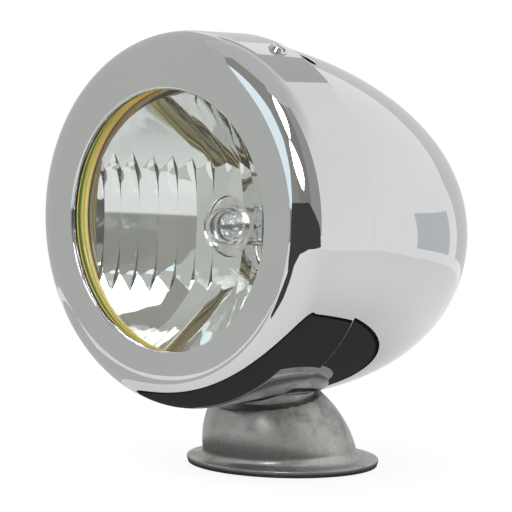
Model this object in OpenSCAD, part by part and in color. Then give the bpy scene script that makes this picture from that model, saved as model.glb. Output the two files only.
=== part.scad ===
// Chrome bullet lamp on a swivelling pedestal: a drawn bullet shell, a screwed bezel with lens and
// fluted reflector, a halogen capsule held by a wire clip, and a domed foot with one clamp bolt.
// Millimetres. The swivel bolt stands on the Z axis, the foot stands on z = 0, the lamp looks along -Y.

/* [Bezel] */
// Outside diameter of the bezel
bezel_od = 114; // [112:0.5:126]
// Wall of the bezel casting
bezel_wall = 1.4; // [1.2:0.1:1.8]
// Radius of the round between the flat face and the skirt
bezel_round = 9.8; // [7:0.2:11]
// Depth of the bezel from its face to the back edge of its skirt
skirt_len = 29.9; // [27:0.1:34]
// Width of the bezel's ring, from its outside to the lens opening
face_ring_w = 17.8; // [17.4:0.1:21]
// Chamfer on the lip of the lens opening
lip_chamfer = 0.4; // [0.2:0.1:0.8]
// Distance from the lens face of the bezel forward of the swivel bolt
front_reach = 52.2; // [49:0.2:60]

/* [Bullet shell] */
// Sheet thickness of the shell
shell_wall = 1.2; // [0.8:0.1:1.5]
// Step from the skirt down to the shell at the seam
seam_step = 1.8; // [1.6:0.1:2.6]
// Length of the bullet from the seam to its tail
bullet_len = 89.5; // [80:0.5:105]
// Angle by which the bullet's axis droops towards the tail
bullet_droop = 7.9; // [5:0.1:9]
// Fullness of the bullet near the seam
bullet_fore = 1.94; // [1.7:0.02:2.3]
// Bluntness of the bullet's tail
bullet_tail = 2.96; // [2.4:0.02:3.4]
// Length of the collar that enters the skirt
collar_len = 16; // [14:0.5:17]
// Gap between the collar and the skirt's bore
collar_gap = 0.6; // [0.3:0.1:0.8]
// Radius of the round seat pressed up into the belly
seat_r = 18.4; // [18:0.1:20]
// Height by which that seat is pressed up
seat_depth = 2.2; // [1.6:0.1:3]

/* [Lens and seals] */
// Thickness of the lens glass
lens_t = 3.6; // [3:0.1:5]
// Width of the lens edge that the bezel covers
lens_lap = 4.1; // [3:0.1:4.4]
// Thickness of the gasket in front of the lens
gasket_t = 1.4; // [1:0.1:2]
// Wall of the gasket around the lens edge
gasket_lip = 1.4; // [1:0.1:1.6]
// Thickness of the seal between the lens and the reflector
seal_t = 3.8; // [2.6:0.1:5]

/* [Reflector] */
// Focal length of the bowl
focal_len = 16.3; // [15:0.1:19]
// Thickness of the bowl along the lamp's axis
bowl_wall = 2.6; // [2:0.1:3.2]
// Thickness of the rim flange
rim_t = 2; // [1.5:0.1:3]
// Radius of the hole for the bulb
bulb_hole_r = 9.5; // [8.5:0.1:10]
// Distance of the bowl and the bulb below the bezel's axis
bowl_drop = 2.4; // [0:0.1:2.6]
// Number of flutes on each side of the bowl
flutes_per_side = 11; // [8:1:14]
// Half the width of the fluted band
band_half_w = 42; // [40.5:0.1:43]
// Distance by which the fluted band stands in front of the bowl's middle
band_rise = 3.8; // [3:0.1:4.6]
// Focal length that the fluted band follows from side to side
band_focal = 16.3; // [15.5:0.1:17]
// Share of the bowl's slope that each flute gives up
flute_ease = 0.3; // [0.2:0.05:0.6]
// Least step from one flute to the next
flute_step = 0.5; // [0.3:0.1:0.8]
// Radius of the arc that each flute follows from top to bottom
flute_arc_r = 118; // [100:1:140]
// Radius of the bulb neck behind the bowl
neck_r = 21; // [20.5:0.1:23]
// Length of the bulb neck behind the bulb hole
neck_len = 6; // [5:0.1:9]

/* [Bulb] */
// Radius of the quartz capsule
capsule_r = 5.6; // [4.5:0.1:5.8]
// Length by which the capsule stands out of the bulb hole
capsule_reach = 10.8; // [9:0.1:16]
// Wall of the quartz
capsule_wall = 0.8; // [0.6:0.1:1.2]
// Wall of the bulb's metal sleeve
sleeve_wall = 0.9; // [0.6:0.1:1.2]
// Radius of the bulb's flange
bulb_flange_r = 11; // [10.5:0.1:12]
// Thickness of the bulb's flange
bulb_flange_t = 1.6; // [1.2:0.1:2]
// Radius of the ceramic neck behind the flange
ceramic_r = 4.6; // [4.2:0.1:5]
// Length of the ceramic neck behind the flange
ceramic_len = 5; // [4:0.1:7]
// Width of the blade terminal
blade_w = 6.3; // [4.8:0.1:6.6]
// Thickness of the blade terminal
blade_t = 0.8; // [0.5:0.1:1]
// Length of the blade behind the ceramic
blade_len = 9; // [6:0.1:12]

/* [Bulb clip] */
// Wire radius of the bulb clip
clip_wire_r = 0.8; // [0.6:0.05:1]
// Half the distance between the clip's two arms
clip_half_w = 7.5; // [7:0.1:8]
// Height of the clip's hinge above the bulb's axis
clip_hinge_up = 16; // [15.6:0.1:17]
// Reach of the clip's arms below the bulb's axis
clip_reach = 14; // [12.5:0.1:15]
// Running clearance of the clip's hinge wire in its ears
clip_gap = 0.05; // [0.03:0.01:0.08]
// Gap between the closed clip and the bulb's flange
clip_rest_gap = 0.3; // [0.2:0.05:0.5]

/* [Swivel clamp] */
// Radius of the clamp bolt
bolt_r = 4; // [3.5:0.1:4.4]
// Width across the flats of the bolt head and the coupling nut
bolt_flats = 13; // [12:0.5:15]
// Height of the clamp bolt's head
bolt_head_t = 5.5; // [4:0.1:7]
// Height of the coupling nut's open end above the floor
nut_recess = 0.3; // [0.2:0.1:1]
// Depth to which the clamp bolt enters the coupling nut
bolt_engage = 6; // [5:0.1:6.5]
// Radius of the tapped hole that takes the mounting bolt
mount_tap_r = 3.4; // [2.6:0.05:3.45]
// Running clearance of the shell's hole around the bolt
swivel_clear = 0.05; // [0.02:0.01:0.09]
// Thickness of the friction washer on the crown
swivel_washer_t = 0.6; // [0.5:0.1:1.2]
// Radius of the friction washer on the crown
swivel_washer_r = 13; // [9:0.1:14]
// Thickness of the large washer inside the shell
clamp_washer_t = 2; // [1.2:0.1:3]
// Radius of the large washer inside the shell
clamp_washer_r = 11; // [9:0.1:13]
// Thickness of the flat washer under the crown
crown_washer_t = 1.6; // [1:0.1:2]
// Thickness of the split spring washer
spring_washer_t = 2.2; // [1.6:0.1:2.2]

/* [Pedestal] */
// Height of the pedestal's flat crown
crown_h = 24.1; // [23.9:0.1:25]
// Sheet thickness of the pedestal
pedestal_wall = 2; // [1.5:0.1:2.4]
// Radius of the round foot flange
foot_r = 30.7; // [30:0.1:36]
// Distance of the foot's centre behind the swivel bolt
foot_back = 5.8; // [4:0.1:7]
// Thickness of the foot flange
foot_t = 1.4; // [1:0.1:2]
// Thickness of the rubber pad under the foot
pad_t = 0.8; // [0.6:0.1:2]
// Half the length of the dome along its leaning axis
dome_long = 32.5; // [31.6:0.1:33.6]
// Half the width of the dome across its leaning axis
dome_wide = 23.3; // [22.8:0.1:24]
// Angle by which the dome's axis leans forward
dome_lean = 42.5; // [39:0.1:45]
// Distance of the dome's middle behind the swivel bolt
dome_back = 5.1; // [4.6:0.1:5.6]
// Angle by which the dome's top slopes down to the front
crown_slope = 7.4; // [4:0.1:9]
// Height of the flat boss above the sloping top, at the bolt
boss_rise = 1.8; // [1.2:0.1:2.4]
// Width of the boss's edge around the friction washer
boss_edge = 0.3; // [0.2:0.1:0.6]
// Radius of the fillet between dome and foot
foot_fillet = 3; // [2:0.1:3.6]

/* [Small parts] */
// Radius of the bezel screw's thread
bezel_screw_r = 1.9; // [1.5:0.05:2.2]
// Depth of the bezel screw behind the bezel's face
bezel_screw_depth = 22.3; // [20:0.1:25]
// Angle of the bezel screw from the top, towards +X
bezel_screw_turn = 25; // [0:1:40]
// Angle of the slot behind the seam, in which the nut's spring tongue hooks
slot_turn = 26; // [0:1:40]
// Distance of that slot behind the seam
slot_back = 6.6; // [3:0.1:9]
// Length of that slot around the shell
slot_len = 6.4; // [4:0.1:8]
// Width of that slot
slot_w = 1.6; // [1:0.1:2.4]
// Radius of the screws that hold the retaining ring
ring_screw_r = 1.5; // [1.2:0.05:1.7]
// Length of those screws in their bosses
ring_screw_grip = 5; // [4:0.1:6]
// Height of those screws' heads
ring_screw_head_t = 1.6; // [1.2:0.1:1.8]
// Thickness of the retaining ring
ring_t = 1.2; // [0.8:0.1:2]
// Distance of the wire grommet behind the seam, along the bullet
grommet_at = 63; // [56:0.5:68]
// Radius of the grommet's bore
grommet_bore_r = 2.3; // [1.8:0.1:2.8]
// Wall of the grommet around its bore
grommet_wall = 2; // [1.4:0.1:2.6]
// Width of the grommet's outer lip
grommet_lip_w = 2.2; // [1.6:0.1:3]
// Thickness of the grommet's outer lip
grommet_lip_t = 1.6; // [1:0.1:2.4]

/* [Hidden] */
$fn = 96;

chrome = [0.78, 0.79, 0.8];
steel = [0.62, 0.62, 0.63];
zinc = [0.7, 0.68, 0.62];
rubber = [0.08, 0.08, 0.08];
far = 200;
eps = 0.02;
fit_gap = 0.2;
wall_cut = 8;
thread_gap = 0.02;

// Depths are measured behind the bezel's flat face, along the lamp's axis.
bezel_r = bezel_od / 2;
skirt_bore_r = bezel_r - bezel_wall;
seam_r = bezel_r - seam_step;
collar_r = skirt_bore_r - collar_gap;
lens_opening_d = bezel_od - 2 * face_ring_w;
opening_r = lens_opening_d / 2;
lens_r = opening_r + lens_lap;
gasket_r = lens_r + fit_gap + gasket_lip;
rim_r = gasket_r + 0.9;
lens_d = bezel_wall + gasket_t;
seal_d = lens_d + lens_t;
rim_d = seal_d + seal_t;
ring_d = rim_d + rim_t;
bowl_r = opening_r + 1.1;
apex_d = rim_d + bowl_r * bowl_r / (4 * focal_len);
hole_d = apex_d - bulb_hole_r * bulb_hole_r / (4 * focal_len);
neck_d = hole_d + neck_len;
ring_in_r = sqrt(4 * focal_len * (apex_d + bowl_wall - ring_d)) + bowl_drop + 0.4;
boss_r = ring_screw_r + 1.7;
boss_at_r = rim_r + 0.4 + boss_r;
boss_angles = [90, 210, 330];
boss_lean = boss_at_r + boss_r - bezel_r + bezel_round;
boss_d = bezel_wall / 2 + bezel_round - sqrt(pow(bezel_round, 2) - pow(max(boss_lean, 0), 2));

grommet_neck_r = grommet_bore_r + grommet_wall;
grommet_lip_r = grommet_neck_r + grommet_lip_w;

// The pressed seat fixes the height of the lamp's axis over the crown.
seat_z = crown_h + swivel_washer_t;
plateau_z = seat_z + shell_wall;
bolt_head_z = plateau_z + clamp_washer_t;
nut_top_z = crown_h - pedestal_wall - crown_washer_t - spring_washer_t;
nut_len = nut_top_z - nut_recess;
foot_z = pad_t + foot_t;
washer_bore_r = bolt_r + 0.1;

function bullet_r(s, r0, len) = s <= 0 ? r0 : r0 * pow(1 - pow(s / len, bullet_fore), 1 / bullet_tail);
function belly_s(s, tries) = tries == 0 ? s : belly_s(
    (front_reach - skirt_len + bullet_r(s, seam_r, bullet_len) * sin(bullet_droop)) / cos(bullet_droop),
    tries - 1);
belly_at = belly_s(bullet_len / 3, 12);
belly_drop = belly_at * sin(bullet_droop) + bullet_r(belly_at, seam_r, bullet_len) * cos(bullet_droop);
axis_h = seat_z - seat_depth + belly_drop;

// Moves a shape drawn along +Z, with +Y downwards, onto the lamp's axis.
module on_lamp_axis(depth = 0) {
    translate([0, depth - front_reach, axis_h])
        rotate([-90, 0, 0])
            children();
}

// Moves a shape drawn along +Z onto the bulb's axis.
module on_bulb_axis(depth = 0) {
    on_lamp_axis(depth)
        translate([0, bowl_drop, 0])
            children();
}

// Moves a shape drawn along +Z onto the bullet's drooping axis, from the seam.
module on_bullet_axis() {
    on_lamp_axis(skirt_len)
        rotate([-bullet_droop, 0, 0])
            children();
}

module tube(r_out, r_in, h) {
    difference() {
        cylinder(r = r_out, h = h);
        translate([0, 0, -1])
            cylinder(r = r_in, h = h + 2);
    }
}

module hex_prism(flats, h) {
    cylinder(d = flats / cos(30), h = h, $fn = 6);
}

// Solid of revolution with the bullet's outline, run on past the seam by a straight neck.
module bullet_solid(r0, len, neck) {
    steps = 26;
    outline = [for (i = [0:steps - 1]) let (s = len * sin(90 * i / steps)) [bullet_r(s, r0, len), s]];
    rotate_extrude()
        polygon(concat([[0, -neck], [r0, -neck]], outline, [[0, len]]));
}

// Round seat, pressed up from below around the swivel bolt.
module seat_column(r, top) {
    translate([0, 0, -1])
        cylinder(r = r, h = top + 1);
}

module grommet_place() {
    slope = (bullet_r(grommet_at + 1, seam_r, bullet_len) - bullet_r(grommet_at - 1, seam_r, bullet_len)) / 2;
    on_bullet_axis()
        translate([0, bullet_r(grommet_at, seam_r, bullet_len), grommet_at])
            rotate([-90 - atan(slope), 0, 0])
                children();
}

module bezel_screw_place(r) {
    on_lamp_axis(bezel_screw_depth)
        rotate([0, 0, bezel_screw_turn])
            translate([0, -r, 0])
                rotate([90, 0, 0])
                    children();
}

// Round-ended slot through the shell, just behind the skirt.
module nut_slot() {
    run = slot_len / 2 - slot_w / 2;
    on_lamp_axis(skirt_len + slot_back)
        rotate([0, 0, slot_turn])
            translate([0, wall_cut / 2 - seam_r, 0])
                rotate([90, 0, 0]) {
                    translate([-run, -slot_w / 2, 0])
                        cube([2 * run, slot_w, wall_cut]);
                    for (side = [-1, 1])
                        translate([side * run, 0, 0])
                            cylinder(d = slot_w, h = wall_cut);
                }
}

module housing() {
    neck = seam_r * tan(bullet_droop) + 2;
    color(chrome)
    difference() {
        union() {
            difference() {
                on_bullet_axis()
                    bullet_solid(seam_r, bullet_len, neck);
                on_lamp_axis(skirt_len)
                    translate([-far, -far, -far])
                        cube([2 * far, 2 * far, far]);
                seat_column(seat_r, seat_z);
                difference() {
                    on_bullet_axis()
                        bullet_solid(seam_r - shell_wall, bullet_len - shell_wall, neck + 1);
                    seat_column(seat_r + shell_wall, plateau_z);
                }
            }
            on_lamp_axis(skirt_len - collar_len)
                tube(collar_r, collar_r - shell_wall, collar_len + shell_wall);
        }
        translate([0, 0, seat_z - 1])
            cylinder(r = bolt_r + swivel_clear, h = shell_wall + 2);
        bezel_screw_place(collar_r - 3)
            cylinder(r = bezel_screw_r + fit_gap, h = 6);
        grommet_place()
            translate([0, 0, -wall_cut / 2])
                cylinder(r = grommet_neck_r + 0.1, h = wall_cut);
        nut_slot();
    }
}

module bezel_section() {
    corner = bezel_r - bezel_round;
    inner_round = bezel_round - bezel_wall;
    difference() {
        union() {
            translate([opening_r, 0])
                square([corner - opening_r, bezel_wall]);
            intersection() {
                translate([corner, bezel_round])
                    circle(r = bezel_round);
                translate([corner, 0])
                    square([bezel_round, bezel_round]);
            }
            translate([skirt_bore_r, bezel_round - eps])
                square([bezel_wall, skirt_len - bezel_round + eps]);
        }
        translate([corner, bezel_round])
            circle(r = inner_round);
        polygon([[opening_r - eps, -eps], [opening_r + lip_chamfer, -eps], [opening_r - eps, lip_chamfer]]);
    }
}

module bezel() {
    color(chrome)
    difference() {
        on_lamp_axis()
            union() {
                rotate_extrude()
                    bezel_section();
                for (a = boss_angles)
                    rotate([0, 0, a])
                        translate([boss_at_r, 0, boss_d])
                            cylinder(r = boss_r, h = ring_d - boss_d);
            }
        on_lamp_axis()
            for (a = boss_angles)
                rotate([0, 0, a])
                    translate([boss_at_r, 0, boss_d + bezel_wall])
                        cylinder(r = ring_screw_r, h = ring_d);
        bezel_screw_place(skirt_bore_r - 1)
            cylinder(r = bezel_screw_r + fit_gap, h = 6);
    }
}

module bezel_screw() {
    head_r = bezel_screw_r * 1.6;
    head_t = 1.3;
    tail = 7;
    slit_w = 0.8;
    slit_d = 0.7;
    color(steel)
    difference() {
        bezel_screw_place(0)
            union() {
                translate([0, 0, collar_r - shell_wall - tail])
                    cylinder(r = bezel_screw_r, h = tail + shell_wall + bezel_r - collar_r + eps);
                translate([0, 0, bezel_r])
                    cylinder(r1 = head_r, r2 = head_r * 0.7, h = head_t);
            }
        bezel_screw_place(bezel_r + head_t - slit_d)
            translate([-head_r - 1, -slit_w / 2, 0])
                cube([2 * head_r + 2, slit_w, slit_d + 1]);
    }
}

module bezel_nut() {
    half = bezel_screw_r * 2;
    nut_t = 3.2;
    seat = sqrt(pow(collar_r - shell_wall, 2) - half * half);
    color(steel)
    bezel_screw_place(seat - nut_t)
        difference() {
            translate([-half, -half, 0])
                cube([2 * half, 2 * half, nut_t]);
            translate([0, 0, -1])
                cylinder(r = bezel_screw_r + thread_gap, h = nut_t + 2);
        }
}

module lens() {
    bevel = 0.6;
    color([0.85, 0.9, 0.88, 0.4])
    on_lamp_axis(lens_d)
        rotate_extrude()
            polygon([[0, 0], [lens_r - bevel, 0], [lens_r, bevel], [lens_r, lens_t - bevel],
                [lens_r - bevel, lens_t], [0, lens_t]]);
}

module lens_gasket() {
    color(rubber)
    on_lamp_axis(bezel_wall)
        difference() {
            cylinder(r = gasket_r, h = gasket_t + lens_t);
            translate([0, 0, -1])
                cylinder(r = opening_r + 0.5, h = gasket_t + lens_t + 2);
            translate([0, 0, gasket_t])
                cylinder(r = lens_r + fit_gap, h = lens_t + 1);
        }
}

module lens_seal() {
    color([0.72, 0.66, 0.3])
    on_lamp_axis(seal_d)
        tube(gasket_r, bowl_r, seal_t);
}

// Filled bowl of the paraboloid, from the rim plane to its apex.
module bowl_solid(back) {
    steps = 16;
    outline = [for (i = [0:steps]) let (r = bowl_r * (1 - i / steps))
        [r, apex_d - r * r / (4 * focal_len) + back]];
    rotate_extrude()
        polygon(concat([[0, rim_d], [bowl_r, rim_d]], outline));
}

// Flutes stand in front of the bowl and narrow towards its sides. Each follows the band's curve at its own
// middle with part of the curve's slope, so that the next flute steps forward from it, and each is turned
// on one long arc from top to bottom.
module flute_band() {
    count = flutes_per_side;
    curve = 1 / (4 * band_focal);
    sweep = 2 * asin((bowl_r + 2) / flute_arc_r);
    back = flute_arc_r + band_rise + 1;
    edges = [for (i = [-count:count]) band_half_w * sin(90 * i / count)];
    front = [for (i = [0:2 * count - 1], side = [-1, 1])
        let (
            mid = (edges[i] + edges[i + 1]) / 2,
            half = (edges[i + 1] - edges[i]) / 2,
            lean = 2 * curve * mid * (1 - flute_ease) * half - sign(mid) * flute_step / 2
        )
        [flute_arc_r - curve * mid * mid - side * lean, mid + side * half]];
    translate([0, 0, apex_d - band_rise - flute_arc_r])
        rotate([0, -90, 0])
            rotate([0, 0, -sweep / 2])
                rotate_extrude(angle = sweep)
                    polygon(concat([[back, -band_half_w]], front, [[back, band_half_w]]));
}

// The neck starts inside the bowl's wall.
neck_root = bowl_wall + 1.4;

// Ears that carry the clip's hinge wire, and posts that keep its arms in line.
clip_d = neck_d + bulb_flange_t + clip_rest_gap + clip_wire_r;
ear_in = clip_half_w + clip_wire_r + 0.8;
ear_t = 2.6;
ear_h = 2 * clip_wire_r + 3.2;
ear_root = 3;

module clip_ear(low, back) {
    for (side = [-1, 1])
        translate([side * (ear_in + ear_t / 2) - ear_t / 2, low, neck_d - ear_root])
            cube([ear_t, ear_h, ear_root + clip_d - neck_d + back]);
}

module clip_ears() {
    clip_ear(-clip_hinge_up - ear_h / 2, ear_h / 2);
    clip_ear(clip_reach - ear_h - clip_wire_r, clip_wire_r);
}

module reflector() {
    color([0.86, 0.87, 0.88])
    difference() {
        union() {
            on_lamp_axis(rim_d)
                cylinder(r = rim_r, h = rim_t);
            on_bulb_axis() {
                bowl_solid(bowl_wall);
                translate([0, 0, hole_d - neck_root])
                    cylinder(r = neck_r, h = neck_len + neck_root);
                clip_ears();
            }
        }
        on_bulb_axis() {
            difference() {
                translate([0, 0, -eps])
                    bowl_solid(0);
                flute_band();
            }
            cylinder(r = bulb_hole_r, h = far);
            translate([-far / 2, -clip_hinge_up, clip_d])
                rotate([0, 90, 0])
                    cylinder(r = clip_wire_r + clip_gap, h = far);
        }
    }
}

module retaining_ring() {
    color(steel)
    on_lamp_axis(ring_d)
        difference() {
            tube(skirt_bore_r - 0.3, ring_in_r, ring_t);
            for (a = boss_angles)
                rotate([0, 0, a])
                    translate([boss_at_r, 0, -1])
                        cylinder(r = ring_screw_r + fit_gap, h = ring_t + 2);
        }
}

module ring_screws() {
    head_r = ring_screw_r * 1.8;
    head_t = ring_screw_head_t;
    slit_w = ring_screw_r / 2;
    color(steel)
    on_lamp_axis(ring_d)
        for (a = boss_angles)
            rotate([0, 0, a])
                translate([boss_at_r, 0, 0]) {
                    translate([0, 0, -ring_screw_grip])
                        cylinder(r = ring_screw_r - thread_gap, h = ring_screw_grip + ring_t);
                    difference() {
                        translate([0, 0, ring_t])
                            cylinder(r = head_r, h = head_t);
                        translate([-head_r - 1, -slit_w / 2, ring_t + head_t / 2])
                            cube([2 * head_r + 2, slit_w, head_t]);
                    }
                }
}

// The bulb's own depths: the quartz stands in a sleeve, which the flange seats on the neck.
tip_d = hole_d - capsule_reach;
plug_len = 3;
quartz_end_d = neck_d - plug_len - 0.5;
bulb_gap = 0.1;
sleeve_r = capsule_r + bulb_gap + sleeve_wall;
ceramic_end_d = neck_d + bulb_flange_t + ceramic_len;
blade_root = 4;

module bulb_capsule() {
    inner_r = capsule_r - capsule_wall;
    dome_d = tip_d + capsule_r;
    color([0.8, 0.85, 0.9, 0.4])
    on_bulb_axis(dome_d)
        difference() {
            union() {
                sphere(r = capsule_r);
                cylinder(r = capsule_r, h = quartz_end_d - dome_d);
            }
            sphere(r = inner_r);
            cylinder(r = inner_r, h = far);
        }
}

module bulb_sleeve() {
    base_d = hole_d - 1.6;
    sleeve_d = base_d - 1;
    key_w = 3;
    key_d = 1.6;
    color(zinc)
    on_bulb_axis()
        difference() {
            union() {
                translate([0, 0, sleeve_d])
                    cylinder(r = sleeve_r, h = neck_d - sleeve_d + eps);
                translate([0, 0, base_d])
                    cylinder(r = bulb_hole_r - fit_gap, h = neck_d - base_d + eps);
                translate([0, 0, neck_d])
                    cylinder(r = bulb_flange_r, h = bulb_flange_t);
            }
            translate([0, 0, sleeve_d - 1])
                cylinder(r = capsule_r + bulb_gap, h = quartz_end_d + plug_len - sleeve_d + 1);
            cylinder(r = ceramic_r + bulb_gap, h = far);
            translate([-key_w / 2, bulb_flange_r - key_d, neck_d - 1])
                cube([key_w, 2 * key_d, bulb_flange_t + 2]);
        }
}

module bulb_ceramic() {
    blade_gap = 0.05;
    color([0.85, 0.83, 0.78])
    on_bulb_axis()
        difference() {
            union() {
                translate([0, 0, quartz_end_d])
                    cylinder(r = capsule_r, h = plug_len);
                translate([0, 0, quartz_end_d + plug_len / 2])
                    cylinder(r = ceramic_r, h = ceramic_end_d - quartz_end_d - plug_len / 2);
            }
            translate([-blade_w / 2 - blade_gap, -blade_t / 2 - blade_gap, ceramic_end_d - blade_root])
                cube([blade_w + 2 * blade_gap, blade_t + 2 * blade_gap, blade_root + 1]);
        }
}

module bulb_blade() {
    tip = 1.4;
    whole = blade_root + blade_len;
    color(steel)
    on_bulb_axis(ceramic_end_d - blade_root)
        rotate([90, 0, 0])
            translate([0, 0, -blade_t / 2])
                linear_extrude(height = blade_t)
                    difference() {
                        polygon([[-blade_w / 2, 0], [blade_w / 2, 0], [blade_w / 2, whole - tip],
                            [blade_w / 2 - tip, whole], [tip - blade_w / 2, whole],
                            [-blade_w / 2, whole - tip]]);
                        translate([0, whole - blade_w / 2])
                            circle(r = blade_w / 9);
                    }
}

// Coil across the axis on two support legs that stand in the ceramic's face.
module filament() {
    coil_d = tip_d + capsule_r;
    coil_half = 2.6;
    coil_r = 0.7;
    leg_r = 0.35;
    color([0.45, 0.45, 0.47])
    on_bulb_axis(coil_d) {
        translate([-coil_half, 0, 0])
            rotate([0, 90, 0])
                cylinder(r = coil_r, h = 2 * coil_half);
        for (side = [-1, 1])
            translate([side * (coil_half - leg_r), 0, 0])
                cylinder(r = leg_r, h = quartz_end_d - coil_d);
    }
}

module wire(a, b, r) {
    run = b - a;
    translate(a)
        rotate([0, acos(run[2] / norm(run)), atan2(run[1], run[0])])
            cylinder(r = r, h = norm(run));
    translate(b)
        sphere(r = r);
}

module bulb_clip() {
    ear_out = ear_in + ear_t;
    hinge = [ear_out, -clip_hinge_up, 0];
    color(steel)
    on_bulb_axis(clip_d) {
        wire([-ear_out, -clip_hinge_up, 0], hinge, clip_wire_r);
        for (side = [-1, 1])
            wire([side * clip_half_w, -clip_hinge_up, 0], [side * clip_half_w, clip_reach, 0], clip_wire_r);
        wire([-clip_half_w, clip_reach, 0], [clip_half_w, clip_reach, 0], clip_wire_r);
    }
}

module wire_grommet() {
    room = shell_wall + 0.9;
    taper = 0.8;
    inner_lip_t = 1.4;
    color(rubber)
    grommet_place()
        difference() {
            union() {
                cylinder(r1 = grommet_lip_r, r2 = grommet_lip_r - taper, h = grommet_lip_t);
                translate([0, 0, -room])
                    cylinder(r = grommet_neck_r, h = room + grommet_lip_t / 2);
                translate([0, 0, -room - inner_lip_t])
                    cylinder(r = grommet_lip_r - taper, h = inner_lip_t);
            }
            translate([0, 0, -far / 2])
                cylinder(r = grommet_bore_r, h = far);
        }
}

// Half of an ellipse turned about the dome's leaning axis.
module dome_solid(shrink) {
    steps = 32;
    wide = dome_wide - shrink;
    long = dome_long - shrink;
    translate([0, dome_back, foot_z])
        rotate([dome_lean, 0, 0])
            rotate_extrude()
                polygon(concat([[0, -long]],
                    [for (i = [1:steps - 1]) let (a = 180 * i / steps - 90) [wide * cos(a), long * sin(a)]],
                    [[0, long]]));
}

module slab(low, high) {
    translate([-far, -far, low])
        cube([2 * far, 2 * far, high - low]);
}

// The room below the dome's top, which is flat at the back and slopes down to the front.
module below_crown(low, drop) {
    intersection() {
        slab(low, crown_h - drop);
        translate([0, 0, crown_h - boss_rise - drop])
            rotate([crown_slope, 0, 0])
                slab(-far, 0);
    }
}

// The flat round boss on the sloping top, from just under the top's lowest place.
module crown_boss(shrink) {
    crown_boss_r = swivel_washer_r + boss_edge - shrink;
    low = crown_h - boss_rise - pedestal_wall - 2 * crown_boss_r * tan(crown_slope);
    translate([0, 0, low])
        cylinder(r = crown_boss_r, h = crown_h - shrink - low);
}

module pedestal() {
    fillet_r = dome_wide + foot_fillet;
    color([0.6, 0.6, 0.58])
    difference() {
        union() {
            intersection() {
                dome_solid(0);
                below_crown(pad_t, 0);
            }
            crown_boss(0);
            translate([0, foot_back, pad_t])
                cylinder(r = foot_r, h = foot_t);
            translate([0, dome_back, foot_z - eps])
                rotate_extrude()
                    difference() {
                        translate([fillet_r - foot_fillet - 1, 0])
                            square([foot_fillet + 1, foot_fillet]);
                        translate([fillet_r, foot_fillet])
                            circle(r = foot_fillet);
                    }
        }
        intersection() {
            dome_solid(pedestal_wall);
            below_crown(0, pedestal_wall);
        }
        crown_boss(pedestal_wall);
        translate([0, 0, crown_h - pedestal_wall - 1])
            cylinder(r = washer_bore_r, h = pedestal_wall + 2);
    }
}

module base_pad() {
    pad_inset = 0.3;
    color(rubber)
    translate([0, foot_back, 0])
        tube(foot_r - pad_inset, dome_wide - pedestal_wall - pad_inset, pad_t);
}

module swivel_washer() {
    color([0.2, 0.2, 0.2])
    translate([0, 0, crown_h])
        tube(swivel_washer_r, washer_bore_r, swivel_washer_t);
}

module clamp_bolt() {
    low = nut_top_z - bolt_engage;
    color(steel) {
        translate([0, 0, low])
            cylinder(r = bolt_r, h = bolt_head_z - low + eps);
        translate([0, 0, bolt_head_z])
            hex_prism(bolt_flats, bolt_head_t);
    }
}

module clamp_washer() {
    color(steel)
    translate([0, 0, plateau_z])
        tube(clamp_washer_r, washer_bore_r, clamp_washer_t);
}

module crown_washer() {
    color(steel)
    translate([0, 0, crown_h - pedestal_wall - crown_washer_t])
        tube(bolt_r * 2.1, washer_bore_r, crown_washer_t);
}

module spring_washer() {
    split_w = 1;
    split_turn = 20;
    color(steel)
    translate([0, 0, nut_top_z])
        difference() {
            tube(bolt_r * 1.7, washer_bore_r, spring_washer_t);
            rotate([0, split_turn, 0])
                translate([0, -split_w / 2, -far / 2])
                    cube([far, split_w, far]);
        }
}

module coupling_nut() {
    color(steel)
    difference() {
        translate([0, 0, nut_recess])
            hex_prism(bolt_flats, nut_len);
        translate([0, 0, nut_recess - 1])
            cylinder(r = mount_tap_r, h = nut_len + 2);
        translate([0, 0, nut_top_z - bolt_engage])
            cylinder(r = bolt_r + thread_gap, h = bolt_engage + 1);
    }
}

pedestal();
base_pad();
swivel_washer();
clamp_bolt();
clamp_washer();
crown_washer();
spring_washer();
coupling_nut();
housing();
bezel();
bezel_screw();
bezel_nut();
lens();
lens_gasket();
lens_seal();
reflector();
retaining_ring();
ring_screws();
bulb_capsule();
bulb_sleeve();
bulb_ceramic();
bulb_blade();
filament();
bulb_clip();
wire_grommet();
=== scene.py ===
"""Looks of a chrome bullet lamp on a swivel pedestal: plated shells, fluted optics, bulb and studio."""
import logging
import math
from dataclasses import dataclass
from enum import Enum
from typing import Mapping, Sequence

import bmesh
import bpy
from mathutils import Matrix, Vector


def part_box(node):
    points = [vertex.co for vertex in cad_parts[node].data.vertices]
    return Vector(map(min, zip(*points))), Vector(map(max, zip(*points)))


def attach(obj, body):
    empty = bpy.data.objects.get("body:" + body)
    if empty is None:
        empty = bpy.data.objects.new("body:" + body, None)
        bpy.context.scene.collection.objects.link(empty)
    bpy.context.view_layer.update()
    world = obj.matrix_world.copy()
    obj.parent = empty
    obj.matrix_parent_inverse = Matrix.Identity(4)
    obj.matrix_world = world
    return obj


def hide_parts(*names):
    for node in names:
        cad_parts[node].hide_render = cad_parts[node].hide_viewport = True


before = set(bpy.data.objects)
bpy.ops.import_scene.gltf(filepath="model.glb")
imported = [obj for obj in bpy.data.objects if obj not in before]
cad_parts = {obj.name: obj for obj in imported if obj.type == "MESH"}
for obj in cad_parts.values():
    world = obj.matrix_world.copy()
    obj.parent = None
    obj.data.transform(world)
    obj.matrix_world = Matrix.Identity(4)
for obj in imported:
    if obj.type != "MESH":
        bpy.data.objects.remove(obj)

LOG = logging.getLogger("bullet_lamp")
MM = 0.001
FULL_TURN = 2.0 * math.pi
RIGHT_ANGLE = math.pi / 2
SEGMENTS = 160
MERGE = 1e-7
UPRIGHT = Matrix.Identity(4)
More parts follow.
